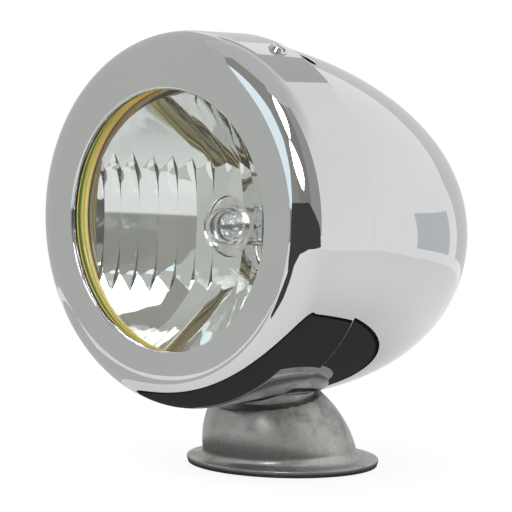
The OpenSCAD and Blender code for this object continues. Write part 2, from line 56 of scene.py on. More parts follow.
CLOUDY = (0.3, 0.7)

Outline = list[tuple[float, float]]
Colour = tuple[float, float, float]
Solid = bmesh.types.BMesh
Material = bpy.types.Material
Socket = bpy.types.NodeSocket


class Body(Enum):
    """The rigid bodies that new pieces ride on."""

    FOOT = "foot"
    HEAD = "lamp_head"


class Cut(Enum):
    """Ways of combining two closed meshes."""

    TAKE = "DIFFERENCE"
    ADD = "UNION"
    KEEP = "INTERSECT"


# Mesh helpers

def half_width(node: str) -> float:
    """Half of a node's extent from side to side, which is a round node's radius."""
    low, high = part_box(node)
    return (high.x - low.x) / 2


def arc(centre: tuple[float, float], radius: float, start: float, end: float, steps: int) -> Outline:
    """Points of a circular arc in an outline.

    Args:
        centre: radius and depth of the arc's centre.
        radius: radius of the arc.
        start: first angle in degrees, from the outward radius towards greater depth.
        end: last angle in degrees.
        steps: number of stretches.

    Returns:
        The arc's points, ends included.
    """
    angles = [math.radians(start + (end - start) * i / steps) for i in range(steps + 1)]
    return [(centre[0] + radius * math.cos(a), centre[1] + radius * math.sin(a)) for a in angles]


def close_up(bm: Solid) -> None:
    """Fill what is open and turn all faces outwards."""
    bmesh.ops.holes_fill(bm, edges=[e for e in bm.edges if e.is_boundary])
    bmesh.ops.recalc_face_normals(bm, faces=bm.faces)


def spin_outline(outline: Sequence[tuple[float, float]], place: Matrix, steps: int = SEGMENTS,
                 closed: bool = True) -> Solid:
    """Turn an outline of (radius, depth) points about the depth axis.

    Args:
        outline: points in order along the outline.
        place: matrix from the turning frame to the part's frame.
        steps: number of segments around.
        closed: whether the last point joins the first.

    Returns:
        A closed mesh with its faces outwards, in the part's frame.
    """
    bm = bmesh.new()
    verts = [bm.verts.new((r, 0.0, d)) for r, d in outline]
    pairs = list(zip(verts, verts[1:])) + ([(verts[-1], verts[0])] if closed else [])
    edges = [bm.edges.new(pair) for pair in pairs]
    bmesh.ops.spin(bm, geom=verts + edges, cent=(0, 0, 0), axis=(0, 0, 1), angle=FULL_TURN,
                   steps=steps, use_merge=True, use_duplicate=False)
    bmesh.ops.remove_doubles(bm, verts=bm.verts, dist=MERGE)
    bmesh.ops.recalc_face_normals(bm, faces=bm.faces)
    bmesh.ops.transform(bm, matrix=place, verts=bm.verts)
    return bm


def loft(rows: Sequence[Sequence[Vector]], place: Matrix = UPRIGHT) -> Solid:
    """Draw a closed section through a row of places.

    Args:
        rows: the section's points at each place, the same number in each.
        place: matrix from the rows' frame to the part's frame.

    Returns:
        The closed solid.
    """
    bm = bmesh.new()
    loop = [bm.verts.new(spot) for spot in rows[0]]
    edges = [bm.edges.new(pair) for pair in zip(loop, loop[1:] + loop[:1])]
    for row in rows[1:]:
        made = bmesh.ops.extrude_edge_only(bm, edges=edges)["geom"]
        fresh = {g for g in made if isinstance(g, bmesh.types.BMVert)}
        loop = [next(e.other_vert(v) for e in v.link_edges if e.other_vert(v) in fresh) for v in loop]
        edges = [bm.edges.get(pair) for pair in zip(loop, loop[1:] + loop[:1])]
        for vert, spot in zip(loop, row):
            vert.co = spot
    close_up(bm)
    bmesh.ops.transform(bm, matrix=place, verts=bm.verts)
    return bm


def solid_cylinder(radius: float, low: float, high: float, place: Matrix = UPRIGHT,
                   segments: int = 96) -> Solid:
    """A closed cylinder along its own depth axis, from low to high.

    Args:
        radius: its radius.
        low: where it starts along its axis.
        high: where it ends.
        place: matrix from its own frame to the part's frame.
        segments: number of flat sides.

    Returns:
        The closed mesh.
    """
    bm = bmesh.new()
    shift = Matrix.Translation((0, 0, (low + high) / 2))
    bmesh.ops.create_cone(bm, cap_ends=True, segments=segments, radius1=radius, radius2=radius,
                          depth=high - low, matrix=place @ shift)
    return bm


def solid_box(low: Sequence[float], high: Sequence[float], place: Matrix) -> Solid:
    """A closed box between two corners in its own frame.

    Args:
        low: the lowest corner.
        high: the highest corner.
        place: matrix from its own frame to the part's frame.

    Returns:
        The closed mesh.
    """
    bm = bmesh.new()
    size = [b - a for a, b in zip(low, high)]
    middle = [(a + b) / 2 for a, b in zip(low, high)]
    stretched = Matrix.Translation(middle) @ Matrix.Diagonal((*size, 1.0))
    bmesh.ops.create_cube(bm, size=1.0, matrix=place @ stretched)
    return bm


def join(target: Solid, *others: Solid) -> Solid:
    """Put other meshes into the target and free them.

    Args:
        target: the mesh to add to.
        others: the meshes to put in.

    Returns:
        The target.
    """
    for other in others:
        scratch = bpy.data.meshes.new("scratch")
        other.to_mesh(scratch)
        other.free()
        target.from_mesh(scratch)
        bpy.data.meshes.remove(scratch)
    return target


def put_in_scene(bm: Solid, name: str, material: Material | None = None) -> bpy.types.Object:
    """Make an object of a mesh, which is freed, and link it.

    Args:
        bm: the mesh.
        name: the object's name.
        material: its finish, if it has one.

    Returns:
        The object at the origin.
    """
    mesh = bpy.data.meshes.new(name)
    bm.to_mesh(mesh)
    bm.free()
    if material:
        mesh.materials.append(material)
    obj = bpy.data.objects.new(name, mesh)
    bpy.context.scene.collection.objects.link(obj)
    return obj


def combine(target: Solid, tool: Solid, cut: Cut) -> Solid:
    """Take one closed mesh from another, add it, or keep what both share.

    Args:
        target: the mesh to change, freed here.
        tool: the other mesh, freed here.
        cut: what to do with it.

    Returns:
        The new mesh.
    """
    made = [put_in_scene(target, "target"), put_in_scene(tool, "tool")]
    modifier = made[0].modifiers.new("cut", "BOOLEAN")
    modifier.operation = cut.value
    modifier.solver = "EXACT"
    modifier.object = made[1]
    result = bmesh.new()
    result.from_object(made[0], bpy.context.evaluated_depsgraph_get())
    for obj in made:
        mesh = obj.data
        bpy.data.objects.remove(obj)
        bpy.data.meshes.remove(mesh)
    return result


def finish_piece(bm: Solid, name: str, body: Body, material: Material,
                 nodes: Sequence[str] = (), sharp: float = 32.0) -> None:
    """Make an object of a mesh and fasten it to its body.

    Args:
        bm: the mesh, freed here.
        name: the piece's name.
        body: the body that it rides on.
        material: the finish.
        nodes: the nodes that it stands for.
        sharp: angle in degrees above which an edge is shaded as an edge.
    """
    limit = math.radians(sharp)
    for face in bm.faces:
        face.smooth = True
    for edge in bm.edges:
        edge.smooth = not (len(edge.link_faces) == 2 and edge.calc_face_angle(0.0) > limit)
    obj = put_in_scene(bm, name, material)
    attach(obj, body.value)
    if nodes:
        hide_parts(*nodes)
    LOG.info("%s rides on %s, %d faces", name, body.value, len(obj.data.polygons))


# Finishes

class Nodes:
    """A small writer of a node tree."""

    def __init__(self, owner: Material | bpy.types.World) -> None:
        """Empty the owner's tree.

        Args:
            owner: the material or world to write.
        """
        owner.use_nodes = True
        self.tree = owner.node_tree
        self.tree.nodes.clear()

    def connect(self, node: bpy.types.Node, inputs: Mapping[str | int, object]) -> None:
        """Join sockets to a node's inputs, or set the inputs to values.

        Args:
            node: the node to feed.
            inputs: sockets or values by the name or number of the input.
        """
        for key, value in inputs.items():
            if isinstance(value, Socket):
                self.tree.links.new(value, node.inputs[key])
            else:
                node.inputs[key].default_value = value

    def add(self, kind: str, inputs: Mapping[str | int, object] | None = None,
            **settings: object) -> bpy.types.Node:
        """Add a node.

        Args:
            kind: the node's type, without its prefix.
            inputs: sockets or values for its inputs.
            settings: the node's own properties.

        Returns:
            The new node.
        """
        node = self.tree.nodes.new("ShaderNode" + kind)
        for key, value in settings.items():
            setattr(node, key, value)
        self.connect(node, inputs or {})
        return node

    def ramp(self, value: Socket, stops: Sequence[tuple[float, Sequence[float]]]) -> Socket:
        """Colours along a value.

        Args:
            value: the socket to follow.
            stops: (position, colour) pairs in order.

        Returns:
            The colour socket.
        """
        node = self.add("ValToRGB", {"Fac": value})
        elements = node.color_ramp.elements
        while len(elements) < len(stops):
            elements.new(0.5)
        for element, (position, colour) in zip(elements, stops):
            element.position = position
            element.color = (*colour, 1.0)
        return node.outputs["Color"]


class Shader(Nodes):
    """A node material around one Principled surface, on object coordinates."""

    def __init__(self, name: str) -> None:
        """Start an empty material of that name.

        Args:
            name: the material's name.
        """
        self.material = bpy.data.materials.new(name)
        super().__init__(self.material)
        self.surface = self.add("BsdfPrincipled")
        self.add("OutputMaterial", {"Surface": self.surface.outputs["BSDF"]})
        self.coords = self.add("TexCoord").outputs["Object"]

    def feed(self, **inputs: object) -> None:
        """Join or set the surface's own inputs; underscores stand for spaces."""
        self.connect(self.surface, {key.replace("_", " "): value for key, value in inputs.items()})

    def noise(self, scale: float, detail: float = 3.0, rough: float = 0.5,
              stretch: Sequence[float] | None = None) -> Socket:
        """A noise value, with the coordinates stretched along each axis if asked.

        Args:
            scale: how fine the noise is.
            detail: how many finer layers it has.
            rough: how strong those layers are.
            stretch: scale along each axis, if they differ.

        Returns:
            The value, from 0 to 1.
        """
        vector = self.coords
        if stretch:
            vector = self.add("Mapping", {"Vector": vector, "Scale": stretch}).outputs["Vector"]
        inputs = {"Vector": vector, "Scale": scale, "Detail": detail, "Roughness": rough}
        return self.add("TexNoise", inputs).outputs["Fac"]

    def span(self, value: Socket, low: float, high: float, to_low: float, to_high: float) -> Socket:
        """A value carried from one range to another, clamped.

        Args:
            value: the socket to carry over.
            low: where the first range starts.
            high: where it ends.
            to_low: where the second range starts.
            to_high: where it ends.

        Returns:
            The new value.
        """
        inputs = {"Value": value, "From Min": low, "From Max": high, "To Min": to_low, "To Max": to_high}
        return self.add("MapRange", inputs).outputs["Result"]

    def part(self, axis: str) -> Socket:
        """One coordinate, in metres."""
        return self.add("SeparateXYZ", {"Vector": self.coords}).outputs[axis]

    def blend(self, factor: Socket, first: Socket, second: Socket) -> Socket:
        """A colour between two, by a factor.

        Args:
            factor: 0 for the first colour, 1 for the second.
            first: one colour.
            second: the other.

        Returns:
            The mixed colour.
        """
        node = self.add("Mix", {"Factor": factor}, data_type="RGBA")
        for key, colour in (("A", first), ("B", second)):
            self.tree.links.new(colour, next(s for s in node.inputs if s.name == key and s.type == "RGBA"))
        return next(s for s in node.outputs if s.type == "RGBA")

    def bump(self, height: Socket, strength: float, depth_mm: float) -> None:
        """Raise the surface by a height value.

        Args:
            height: the socket to follow.
            strength: how strongly it shows, up to 1.
            depth_mm: height of the relief.
        """
        node = self.add("Bump", {"Height": height, "Strength": strength, "Distance": depth_mm * MM})
        self.feed(Normal=node.outputs["Normal"])


@dataclass(frozen=True)
class Finish:
    """A surface that can be written as a node material."""

    name: str

    def write(self, shader: Shader) -> None:
        """Write the nodes into a new material.

        Args:
            shader: the material to write.
        """
        raise NotImplementedError

    def material(self) -> Material:
        """Make the node material.

        Returns:
            The new material.
        """
        shader = Shader(self.name)
        self.write(shader)
        return shader.material


@dataclass(frozen=True)
class MetalFinish(Finish):
    """A metal surface with cloudy gloss and fine unevenness."""

    bright: Colour
    dull: Colour
    gloss: tuple[float, float]
    cloud: float
    grain: float
    grain_depth_mm: float
    cloud_detail: float = 4.0
    cloud_rough: float = 0.55
    tones_at: tuple[float, float] = (0.35, 0.65)
    grain_detail: float = 2.0
    unevenness: float = 0.2

    def write(self, shader: Shader) -> None:
        """Let one cloud set tone and gloss, and a finer one the unevenness.

        Args:
            shader: the material to write.
        """
        cloud = shader.noise(self.cloud, self.cloud_detail, self.cloud_rough)
        tones = shader.ramp(cloud, list(zip(self.tones_at, (self.dull, self.bright))))
        shader.feed(Metallic=1.0, Base_Color=tones,
                    Roughness=shader.span(cloud, *CLOUDY, self.gloss[1], self.gloss[0]))
        shader.bump(shader.noise(self.grain, self.grain_detail), self.unevenness, self.grain_depth_mm)


@dataclass(frozen=True)
class WornPlate(Finish):
    """Satin plate that has dulled a little in patches, with fine scratches round it."""

    name: str = "worn_satin_plate"
    bright: Colour = (0.47, 0.47, 0.455)
    middle: Colour = (0.39, 0.388, 0.375)
    dark: Colour = (0.2, 0.197, 0.185)
    metal: float = 0.8
    patch: float = 70.0
    patch_detail: float = 5.0
    tones_at: tuple[float, float, float] = (0.3, 0.44, 0.66)
    speck: float = 900.0
    speck_detail: float = 2.0
    specks_at: tuple[float, float] = (0.3, 0.45)
    speck_shade: float = 0.85
    gloss: tuple[float, float] = (0.27, 0.4)
    gloss_at: tuple[float, float] = (0.35, 0.65)
    rough: float = 0.6
    scratch: tuple[float, float, float] = (160.0, 160.0, 2600.0)
    scratch_detail: float = 3.0
    scratch_depth_mm: float = 0.02
    unevenness: float = 0.2

    def write(self, shader: Shader) -> None:
        """Tone the patches, darken them by specks, and scratch the surface.

        Args:
            shader: the material to write.
        """
        patch = shader.noise(self.patch, self.patch_detail, self.rough)
        tone = shader.ramp(patch, list(zip(self.tones_at, (self.dark, self.middle, self.bright))))
        specks = shader.noise(self.speck, self.speck_detail)
        shade = shader.span(specks, *self.specks_at, self.speck_shade, 1.0)
        mixed = shader.add("VectorMath", {0: tone, "Scale": shade}, operation="SCALE")
        shader.feed(Metallic=self.metal, Base_Color=mixed.outputs["Vector"],
                    Roughness=shader.span(patch, *self.gloss_at, self.gloss[1], self.gloss[0]))
        scratches = shader.noise(1.0, self.scratch_detail, self.rough, self.scratch)
        shader.bump(scratches, self.unevenness, self.scratch_depth_mm)


@dataclass(frozen=True)
class MattFinish(Finish):
    """Rubber, fibre or ceramic with a mottled tone and a fine grain."""

    light: Colour
    dark: Colour
    rough: float
    grain: float
    grain_depth_mm: float
    cloud_share: float = 1 / 8
    cloud_detail: float = 4.0
    sheen: float = 0.8
    unevenness: float = 0.4

    def write(self, shader: Shader) -> None:
        """Let one cloud set tone and gloss, and the grain the unevenness.

        Args:
            shader: the material to write.
        """
        cloud = shader.noise(self.grain * self.cloud_share, self.cloud_detail)
        shader.feed(Base_Color=shader.ramp(cloud, list(zip(CLOUDY, (self.dark, self.light)))),
                    Roughness=shader.span(cloud, *CLOUDY, self.rough, self.rough * self.sheen))
        shader.bump(shader.noise(self.grain), self.unevenness, self.grain_depth_mm)


@dataclass(frozen=True)
class GasketFinish(Finish):
    """Black moulded rubber whose edge against the glass has turned amber."""

    front_y: float
    glass_y: float
    black: Colour = (0.02, 0.02, 0.021)
    amber: Colour = (0.95, 0.6, 0.1)
    turns_at: tuple[float, float] = (0.62, 0.7)
    cloud: float = 400.0
    gloss: tuple[float, float] = (0.45, 0.6)
    grain: float = 1600.0
    grain_depth_mm: float = 0.04
    unevenness: float = 0.3

    def write(self, shader: Shader) -> None:
        """Change the colour on the way back to the glass.

        Args:
            shader: the material to write.
        """
        along = shader.span(shader.part("Y"), self.front_y, self.glass_y, 0.0, 1.0)
        last_black, first_amber = self.turns_at
        stops = [(0.0, self.black), (last_black, self.black), (first_amber, self.amber), (1.0, self.amber)]
        cloud = shader.noise(self.cloud)
        shader.feed(Base_Color=shader.ramp(along, stops),
                    Roughness=shader.span(cloud, *CLOUDY, self.gloss[1], self.gloss[0]))
        shader.bump(shader.noise(self.grain), self.unevenness, self.grain_depth_mm)


@dataclass(frozen=True)
class SealFinish(Finish):
    """Lip seal: a colour on each lip's front, orange towards the top, and a dark painted shade behind the
    lips.

    Its colours also glow a little: painted light that brightens the seal, though it is no lamp.
    """

    front_y: float
    depth: float
    low_z: float
    high_z: float
    green: Colour = (0.08, 0.36, 0.13)
    olive: Colour = (0.6, 0.52, 0.14)
    straw: Colour = (0.95, 0.8, 0.22)
    pale: Colour = (0.97, 0.9, 0.5)
    orange: Colour = (0.92, 0.46, 0.05)
    # painted shade: the dark colour on the faces behind each lip, where shade falls between the lips
    painted_shade_behind_lips: Colour = (0.13, 0.11, 0.105)
    edge: float = 0.02
    fade: float = 1.5
    rough: float = 0.35
    # painted light: strength of the glow in the seal's own colours
    glow: float = 0.3
    grain: float = 900.0
    grain_detail: float = 2.0
    grain_depth_mm: float = 0.03
    unevenness: float = 0.2

    def lips(self, shader: Shader, along: Socket, colours: Sequence[Colour]) -> Socket:
        """Colour each lip's front face and paint the rest with a dark painted shade.

        Args:
            shader: the node tree.
            along: how far back, from 0 to 1.
            colours: one colour for each lip from the front.

        Returns:
            The colour socket.
        """
        near, far = self.edge, self.fade * self.edge
        # between the lips' fronts the ramp carries the painted shade
        stops = [(0.0, colours[0]), (near, colours[0]), (far, self.painted_shade_behind_lips)]
        for i, colour in enumerate(colours[1:], 1):
            at = i / len(colours)
            stops += [(at - far, self.painted_shade_behind_lips), (at - near, colour),
                      (at + near, colour), (at + far, self.painted_shade_behind_lips)]
        return shader.ramp(along, stops)

    def write(self, shader: Shader) -> None:
        """Blend the lower half's stripes into the upper half's.

        Args:
            shader: the material to write.
        """
        along = shader.span(shader.part("Y"), self.front_y, self.front_y + self.depth, 0.0, 1.0)
        low = (self.green, self.olive, self.straw, self.olive, self.pale, self.straw)
        high = (self.green, self.straw, self.olive, self.straw, self.orange, self.orange)
        upper = shader.span(shader.part("Z"), self.low_z, self.high_z, 0.0, 1.0)
        colour = shader.blend(upper, self.lips(shader, along, low), self.lips(shader, along, high))
        # painted light: the emission makes the seal glow in its own colours
        shader.feed(Base_Color=colour, Emission_Color=colour, Emission_Strength=self.glow,
                    Roughness=self.rough)
        shader.bump(shader.noise(self.grain, self.grain_detail), self.unevenness, self.grain_depth_mm)


@dataclass(frozen=True)
class ClearFinish(Finish):
    """Glass or quartz with a faint film on its surface."""

    tint: Colour
    index: float
    film: float
    film_scale: float = 60.0
    film_detail: float = 4.0
    film_at: tuple[float, float] = (0.45, 0.8)

    def write(self, shader: Shader) -> None:
        """Set the clear body and let the film show in places.

        Args:
            shader: the material to write.
        """
        film = shader.span(shader.noise(self.film_scale, self.film_detail), *self.film_at, 0.0, self.film)
        shader.feed(Transmission_Weight=1.0, IOR=self.index, Base_Color=(*self.tint, 1.0), Roughness=film)


CHROME = MetalFinish("mirror_chrome_plate", (0.66, 0.67, 0.675), (0.62, 0.63, 0.635), (0.012, 0.03),
                     14.0, 9.0, 0.012)
ZINC = MetalFinish("bright_zinc_plate", (0.6, 0.6, 0.61), (0.42, 0.42, 0.43), (0.18, 0.34),
                   320.0, 1500.0, 0.02)
PASSIVATED = MetalFinish("yellow_zinc_plate", (0.7, 0.64, 0.45), (0.5, 0.45, 0.32), (0.2, 0.36),
                         260.0, 1500.0, 0.02)
BRIGHT_CUP = MetalFinish("bright_plate", (0.93, 0.95, 0.97), (0.86, 0.88, 0.9), (0.12, 0.25),
                         300.0, 1400.0, 0.02)
NICKEL = MetalFinish("nickel_plate", (0.78, 0.76, 0.72), (0.62, 0.6, 0.57), (0.1, 0.22), 300.0, 1400.0, 0.02)
TUNGSTEN = MetalFinish("tungsten_wire", (0.5, 0.5, 0.52), (0.34, 0.34, 0.36), (0.25, 0.4),
                       2000.0, 6000.0, 0.004)
MIRROR = MetalFinish("metallised_mirror", (0.8, 0.805, 0.795), (0.76, 0.765, 0.755), (0.02, 0.05),
                     40.0, 60.0, 0.012)
RUBBER = MattFinish("black_rubber", (0.03, 0.03, 0.032), (0.012, 0.012, 0.013), 0.7, 1600.0, 0.06)
FIBRE = MattFinish("pressed_fibre", (0.09, 0.085, 0.08), (0.04, 0.04, 0.04), 0.85, 2400.0, 0.08)
CERAMIC = MattFinish("unglazed_ceramic", (0.86, 0.84, 0.79), (0.74, 0.71, 0.65), 0.8, 1800.0, 0.03)
GLASS = ClearFinish("clear_lens_glass", (0.97, 0.99, 0.98), 1.5, 0.02)
QUARTZ = ClearFinish("clear_quartz", (0.98, 0.985, 0.99), 1.46, 0.01)


# Frames that the sub-assemblies are drawn in

@dataclass(frozen=True)
class LampFrame:
    """Axis of the bezel: depth runs backwards from its flat face."""

    face_y: float
    axis_z: float
    bezel_r: float
    skirt_len: float

    @classmethod
    def from_frame(cls) -> "LampFrame":
        """Read the axis from the bezel's own box."""
        low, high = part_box("bezel")
        return cls(low.y, (low.z + high.z) / 2, (high.x - low.x) / 2, high.y - low.y)

    def depths(self, node: str) -> tuple[float, float]:
        """First and last depth of a node behind the bezel's face."""
        low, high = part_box(node)
        return low.y - self.face_y, high.y - self.face_y

    def place(self, drop: float = 0.0) -> Matrix:
        """Matrix whose local Z is depth and local Y points down, moved down by drop."""
        return Matrix(((1, 0, 0, 0), (0, 0, 1, self.face_y), (0, -1, 0, self.axis_z - drop), (0, 0, 0, 1)))

    def around(self, turn: float, depth: float) -> Matrix:
        """Matrix whose local Z points outwards at an angle from the top towards +X.

        Args:
            turn: the angle.
            depth: how far behind the bezel's face.

        Returns:
            A matrix with its origin on the lamp's axis.
        """
        outward = Vector((math.sin(turn), 0, math.cos(turn)))
        along = Vector((0, 1, 0))
        turned = Matrix((along.cross(outward), along, outward)).transposed().to_4x4()
        return Matrix.Translation((0, self.face_y + depth, self.axis_z)) @ turned


# Sub-assemblies

@dataclass
class Bezel:
    """Chrome ring with a flat face, a rounded edge and a straight skirt."""

    lamp: LampFrame
    wall: float = 1.4 * MM
    round_r: float = 9.8 * MM
    ring_w: float = 17.8 * MM
    lip_r: float = 1.0 * MM
    edge_r: float = 0.4 * MM
    boss_r: float = 3.2 * MM
    boss_d: float = 2.6 * MM
    boss_turns: tuple[int, ...] = (90, 210, 330)
    screw_head_r: float = 2.7 * MM
    support: float = 0.2 * MM
    lip_steps: int = 6
    shoulder_steps: int = 56
    edge_steps: int = 5
    inner_steps: int = 20
    boss_segments: int = 32
    segments: int = 224

    @property
    def opening_r(self) -> float:
        """Radius of the lens opening."""
        return self.lamp.bezel_r - self.ring_w

    def outline(self) -> Outline:
        """Section of the ring, from the lip round to the lip again, with support beside each rounding.

        Returns:
            The points as radius and depth.
        """
        outer, depth = self.lamp.bezel_r, self.lamp.skirt_len
        corner = outer - self.round_r
        lip = arc((self.opening_r + self.lip_r, self.lip_r), self.lip_r, 180, 270, self.lip_steps)
        shoulder = arc((corner, self.round_r), self.round_r, -90, 0, self.shoulder_steps)
        rear = arc((outer - self.edge_r, depth - self.edge_r), self.edge_r, 0, 90, self.edge_steps)
        inner = arc((corner, self.round_r), self.round_r - self.wall, 0, -90, self.inner_steps)
        return ([(self.opening_r, self.wall)] + lip + [(corner - self.support, 0.0)] + shoulder
                + [(outer, self.round_r + self.support), (outer, depth - self.edge_r - self.support)] + rear
                + [(outer - self.wall, depth)] + inner)

    def build(self, chrome: Material) -> None:
        """Make the ring with the three screw bosses behind its face.

        Args:
            chrome: the finish.
        """
        ring = spin_outline(self.outline(), self.lamp.place(), self.segments)
        widest = math.radians(self.boss_turns[-1])
        at_r = (half_width("ring_screws") - self.screw_head_r) / math.cos(widest)
        seat, _ = self.lamp.depths("retaining_ring")
        for turn in self.boss_turns:
            place = (self.lamp.place() @ Matrix.Rotation(math.radians(turn), 4, "Z")
                     @ Matrix.Translation((at_r, 0, 0)))
            join(ring, solid_cylinder(self.boss_r, self.boss_d, seat, place, self.boss_segments))
        finish_piece(ring, "bezel_ring", Body.HEAD, chrome, ["bezel"])


@dataclass
class BulletShell:
    """Drawn bullet shell that droops towards its tail, with a seat pressed up into its belly."""

    lamp: LampFrame
    wall: float = 1.2 * MM
    seam_step: float = 1.8 * MM
    length: float = 89.5 * MM
    droop: float = math.radians(7.9)
    fore: float = 1.94
    tail: float = 2.96
    collar_len: float = 16.0 * MM
    collar_r: float = 55.0 * MM
    seat_r: float = 18.4 * MM
    washer_ratio: float = 2.1
    bolt_gap: float = 0.05 * MM
    slot_turn: float = math.radians(26)
    slot_back: float = 6.6 * MM
    slot_len: float = 6.4 * MM
    slot_w: float = 3.2 * MM
    wire_at: float = 63.0 * MM
    wire_hole_r: float = 4.4 * MM
    through: float = 4.0 * MM
    reach: float = 0.2
    slot_steps: int = 12
    wire_hole_segments: int = 48
    rows: int = 96
    segments: int = 192

    @property
    def place(self) -> Matrix:
        """Matrix of the drooping axis, from the seam."""
        return (self.lamp.place() @ Matrix.Translation((0, 0, self.lamp.skirt_len))
                @ Matrix.Rotation(-self.droop, 4, "X"))

    def radius(self, back: float, inset: float = 0.0) -> float:
        """Radius of the bullet at a distance behind the seam, drawn in by an inset."""
        seam_r, length = self.lamp.bezel_r - self.seam_step - inset, self.length - inset
        return seam_r * (1 - (back / length) ** self.fore) ** (1 / self.tail)

    def solid(self, inset: float, neck: float) -> Solid:
        """The filled bullet, drawn in by an inset, with a straight neck past the seam.

        Args:
            inset: how far it is drawn in.
            neck: length of the neck.

        Returns:
            The closed solid.
        """
        length = self.length - inset
        points: Outline = [(0.0, -neck), (self.radius(0.0, inset), -neck)]
        for i in range(self.rows):
            back = length * math.sin(RIGHT_ANGLE * i / self.rows)
            points.append((self.radius(back, inset), back))
        return spin_outline(points + [(0.0, length)], self.place, self.segments, closed=False)

    def front_block(self) -> Solid:
        """What is cut off in front of the seam."""
        wide = self.reach
        return solid_box((-wide, -wide, -wide), (wide, wide, self.lamp.skirt_len), self.lamp.place())

    def slot(self) -> Solid:
        """Round-ended slot through the shell behind the seam.

        Returns:
            The solid to take away.
        """
        place = self.lamp.around(self.slot_turn, self.lamp.skirt_len + self.slot_back)
        half = self.slot_w / 2
        run = self.slot_len / 2 - half
        outline = (arc((run, 0.0), half, -90, 90, self.slot_steps)
                   + arc((-run, 0.0), half, 90, 270, self.slot_steps))
        levels = (self.lamp.bezel_r - 2 * self.through, self.lamp.bezel_r + self.through)
        return loft([[Vector((x, y, level)) for x, y in outline] for level in levels], place)

    def wire_hole(self) -> Solid:
        """Room for the grommet in the belly, square to the wall.

        Returns:
            The solid to take away.
        """
        lean = math.atan((self.radius(self.wire_at + MM) - self.radius(self.wire_at - MM)) / (2 * MM))
        place = (self.place @ Matrix.Translation((0, self.radius(self.wire_at), self.wire_at))
                 @ Matrix.Rotation(-RIGHT_ANGLE - lean, 4, "X"))
        return solid_cylinder(self.wire_hole_r, -self.through, self.through, place, self.wire_hole_segments)

    def build(self, chrome: Material) -> None:
        """Make the shell with its seat, holes, slot and collar.

        Args:
            chrome: the finish.
        """
        neck = self.lamp.bezel_r * math.tan(self.droop) + 2 * MM
        seat_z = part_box("swivel_washer")[1].z
        seat = solid_cylinder(self.seat_r, -MM, seat_z, segments=SEGMENTS)
        column = solid_cylinder(self.seat_r + self.wall, -MM, seat_z + self.wall, segments=SEGMENTS)
        hollow = combine(self.solid(self.wall, neck + MM), column, Cut.TAKE)
        bolt_r = half_width("crown_washer") / self.washer_ratio + self.bolt_gap
        bolt_hole = solid_cylinder(bolt_r, seat_z - MM, seat_z + self.through)
        shell = self.solid(0.0, neck)
        for room in (self.front_block(), seat, hollow, bolt_hole, self.slot(), self.wire_hole()):
            shell = combine(shell, room, Cut.TAKE)
        outer, inner, last = self.collar_r, self.collar_r - self.wall, self.lamp.skirt_len
        first = last - self.collar_len
        section = [(inner, first), (outer, first), (outer, last), (inner, last)]
        collar = spin_outline(section, self.lamp.place())
        finish_piece(join(shell, collar), "bullet_shell", Body.HEAD, chrome, ["housing"])


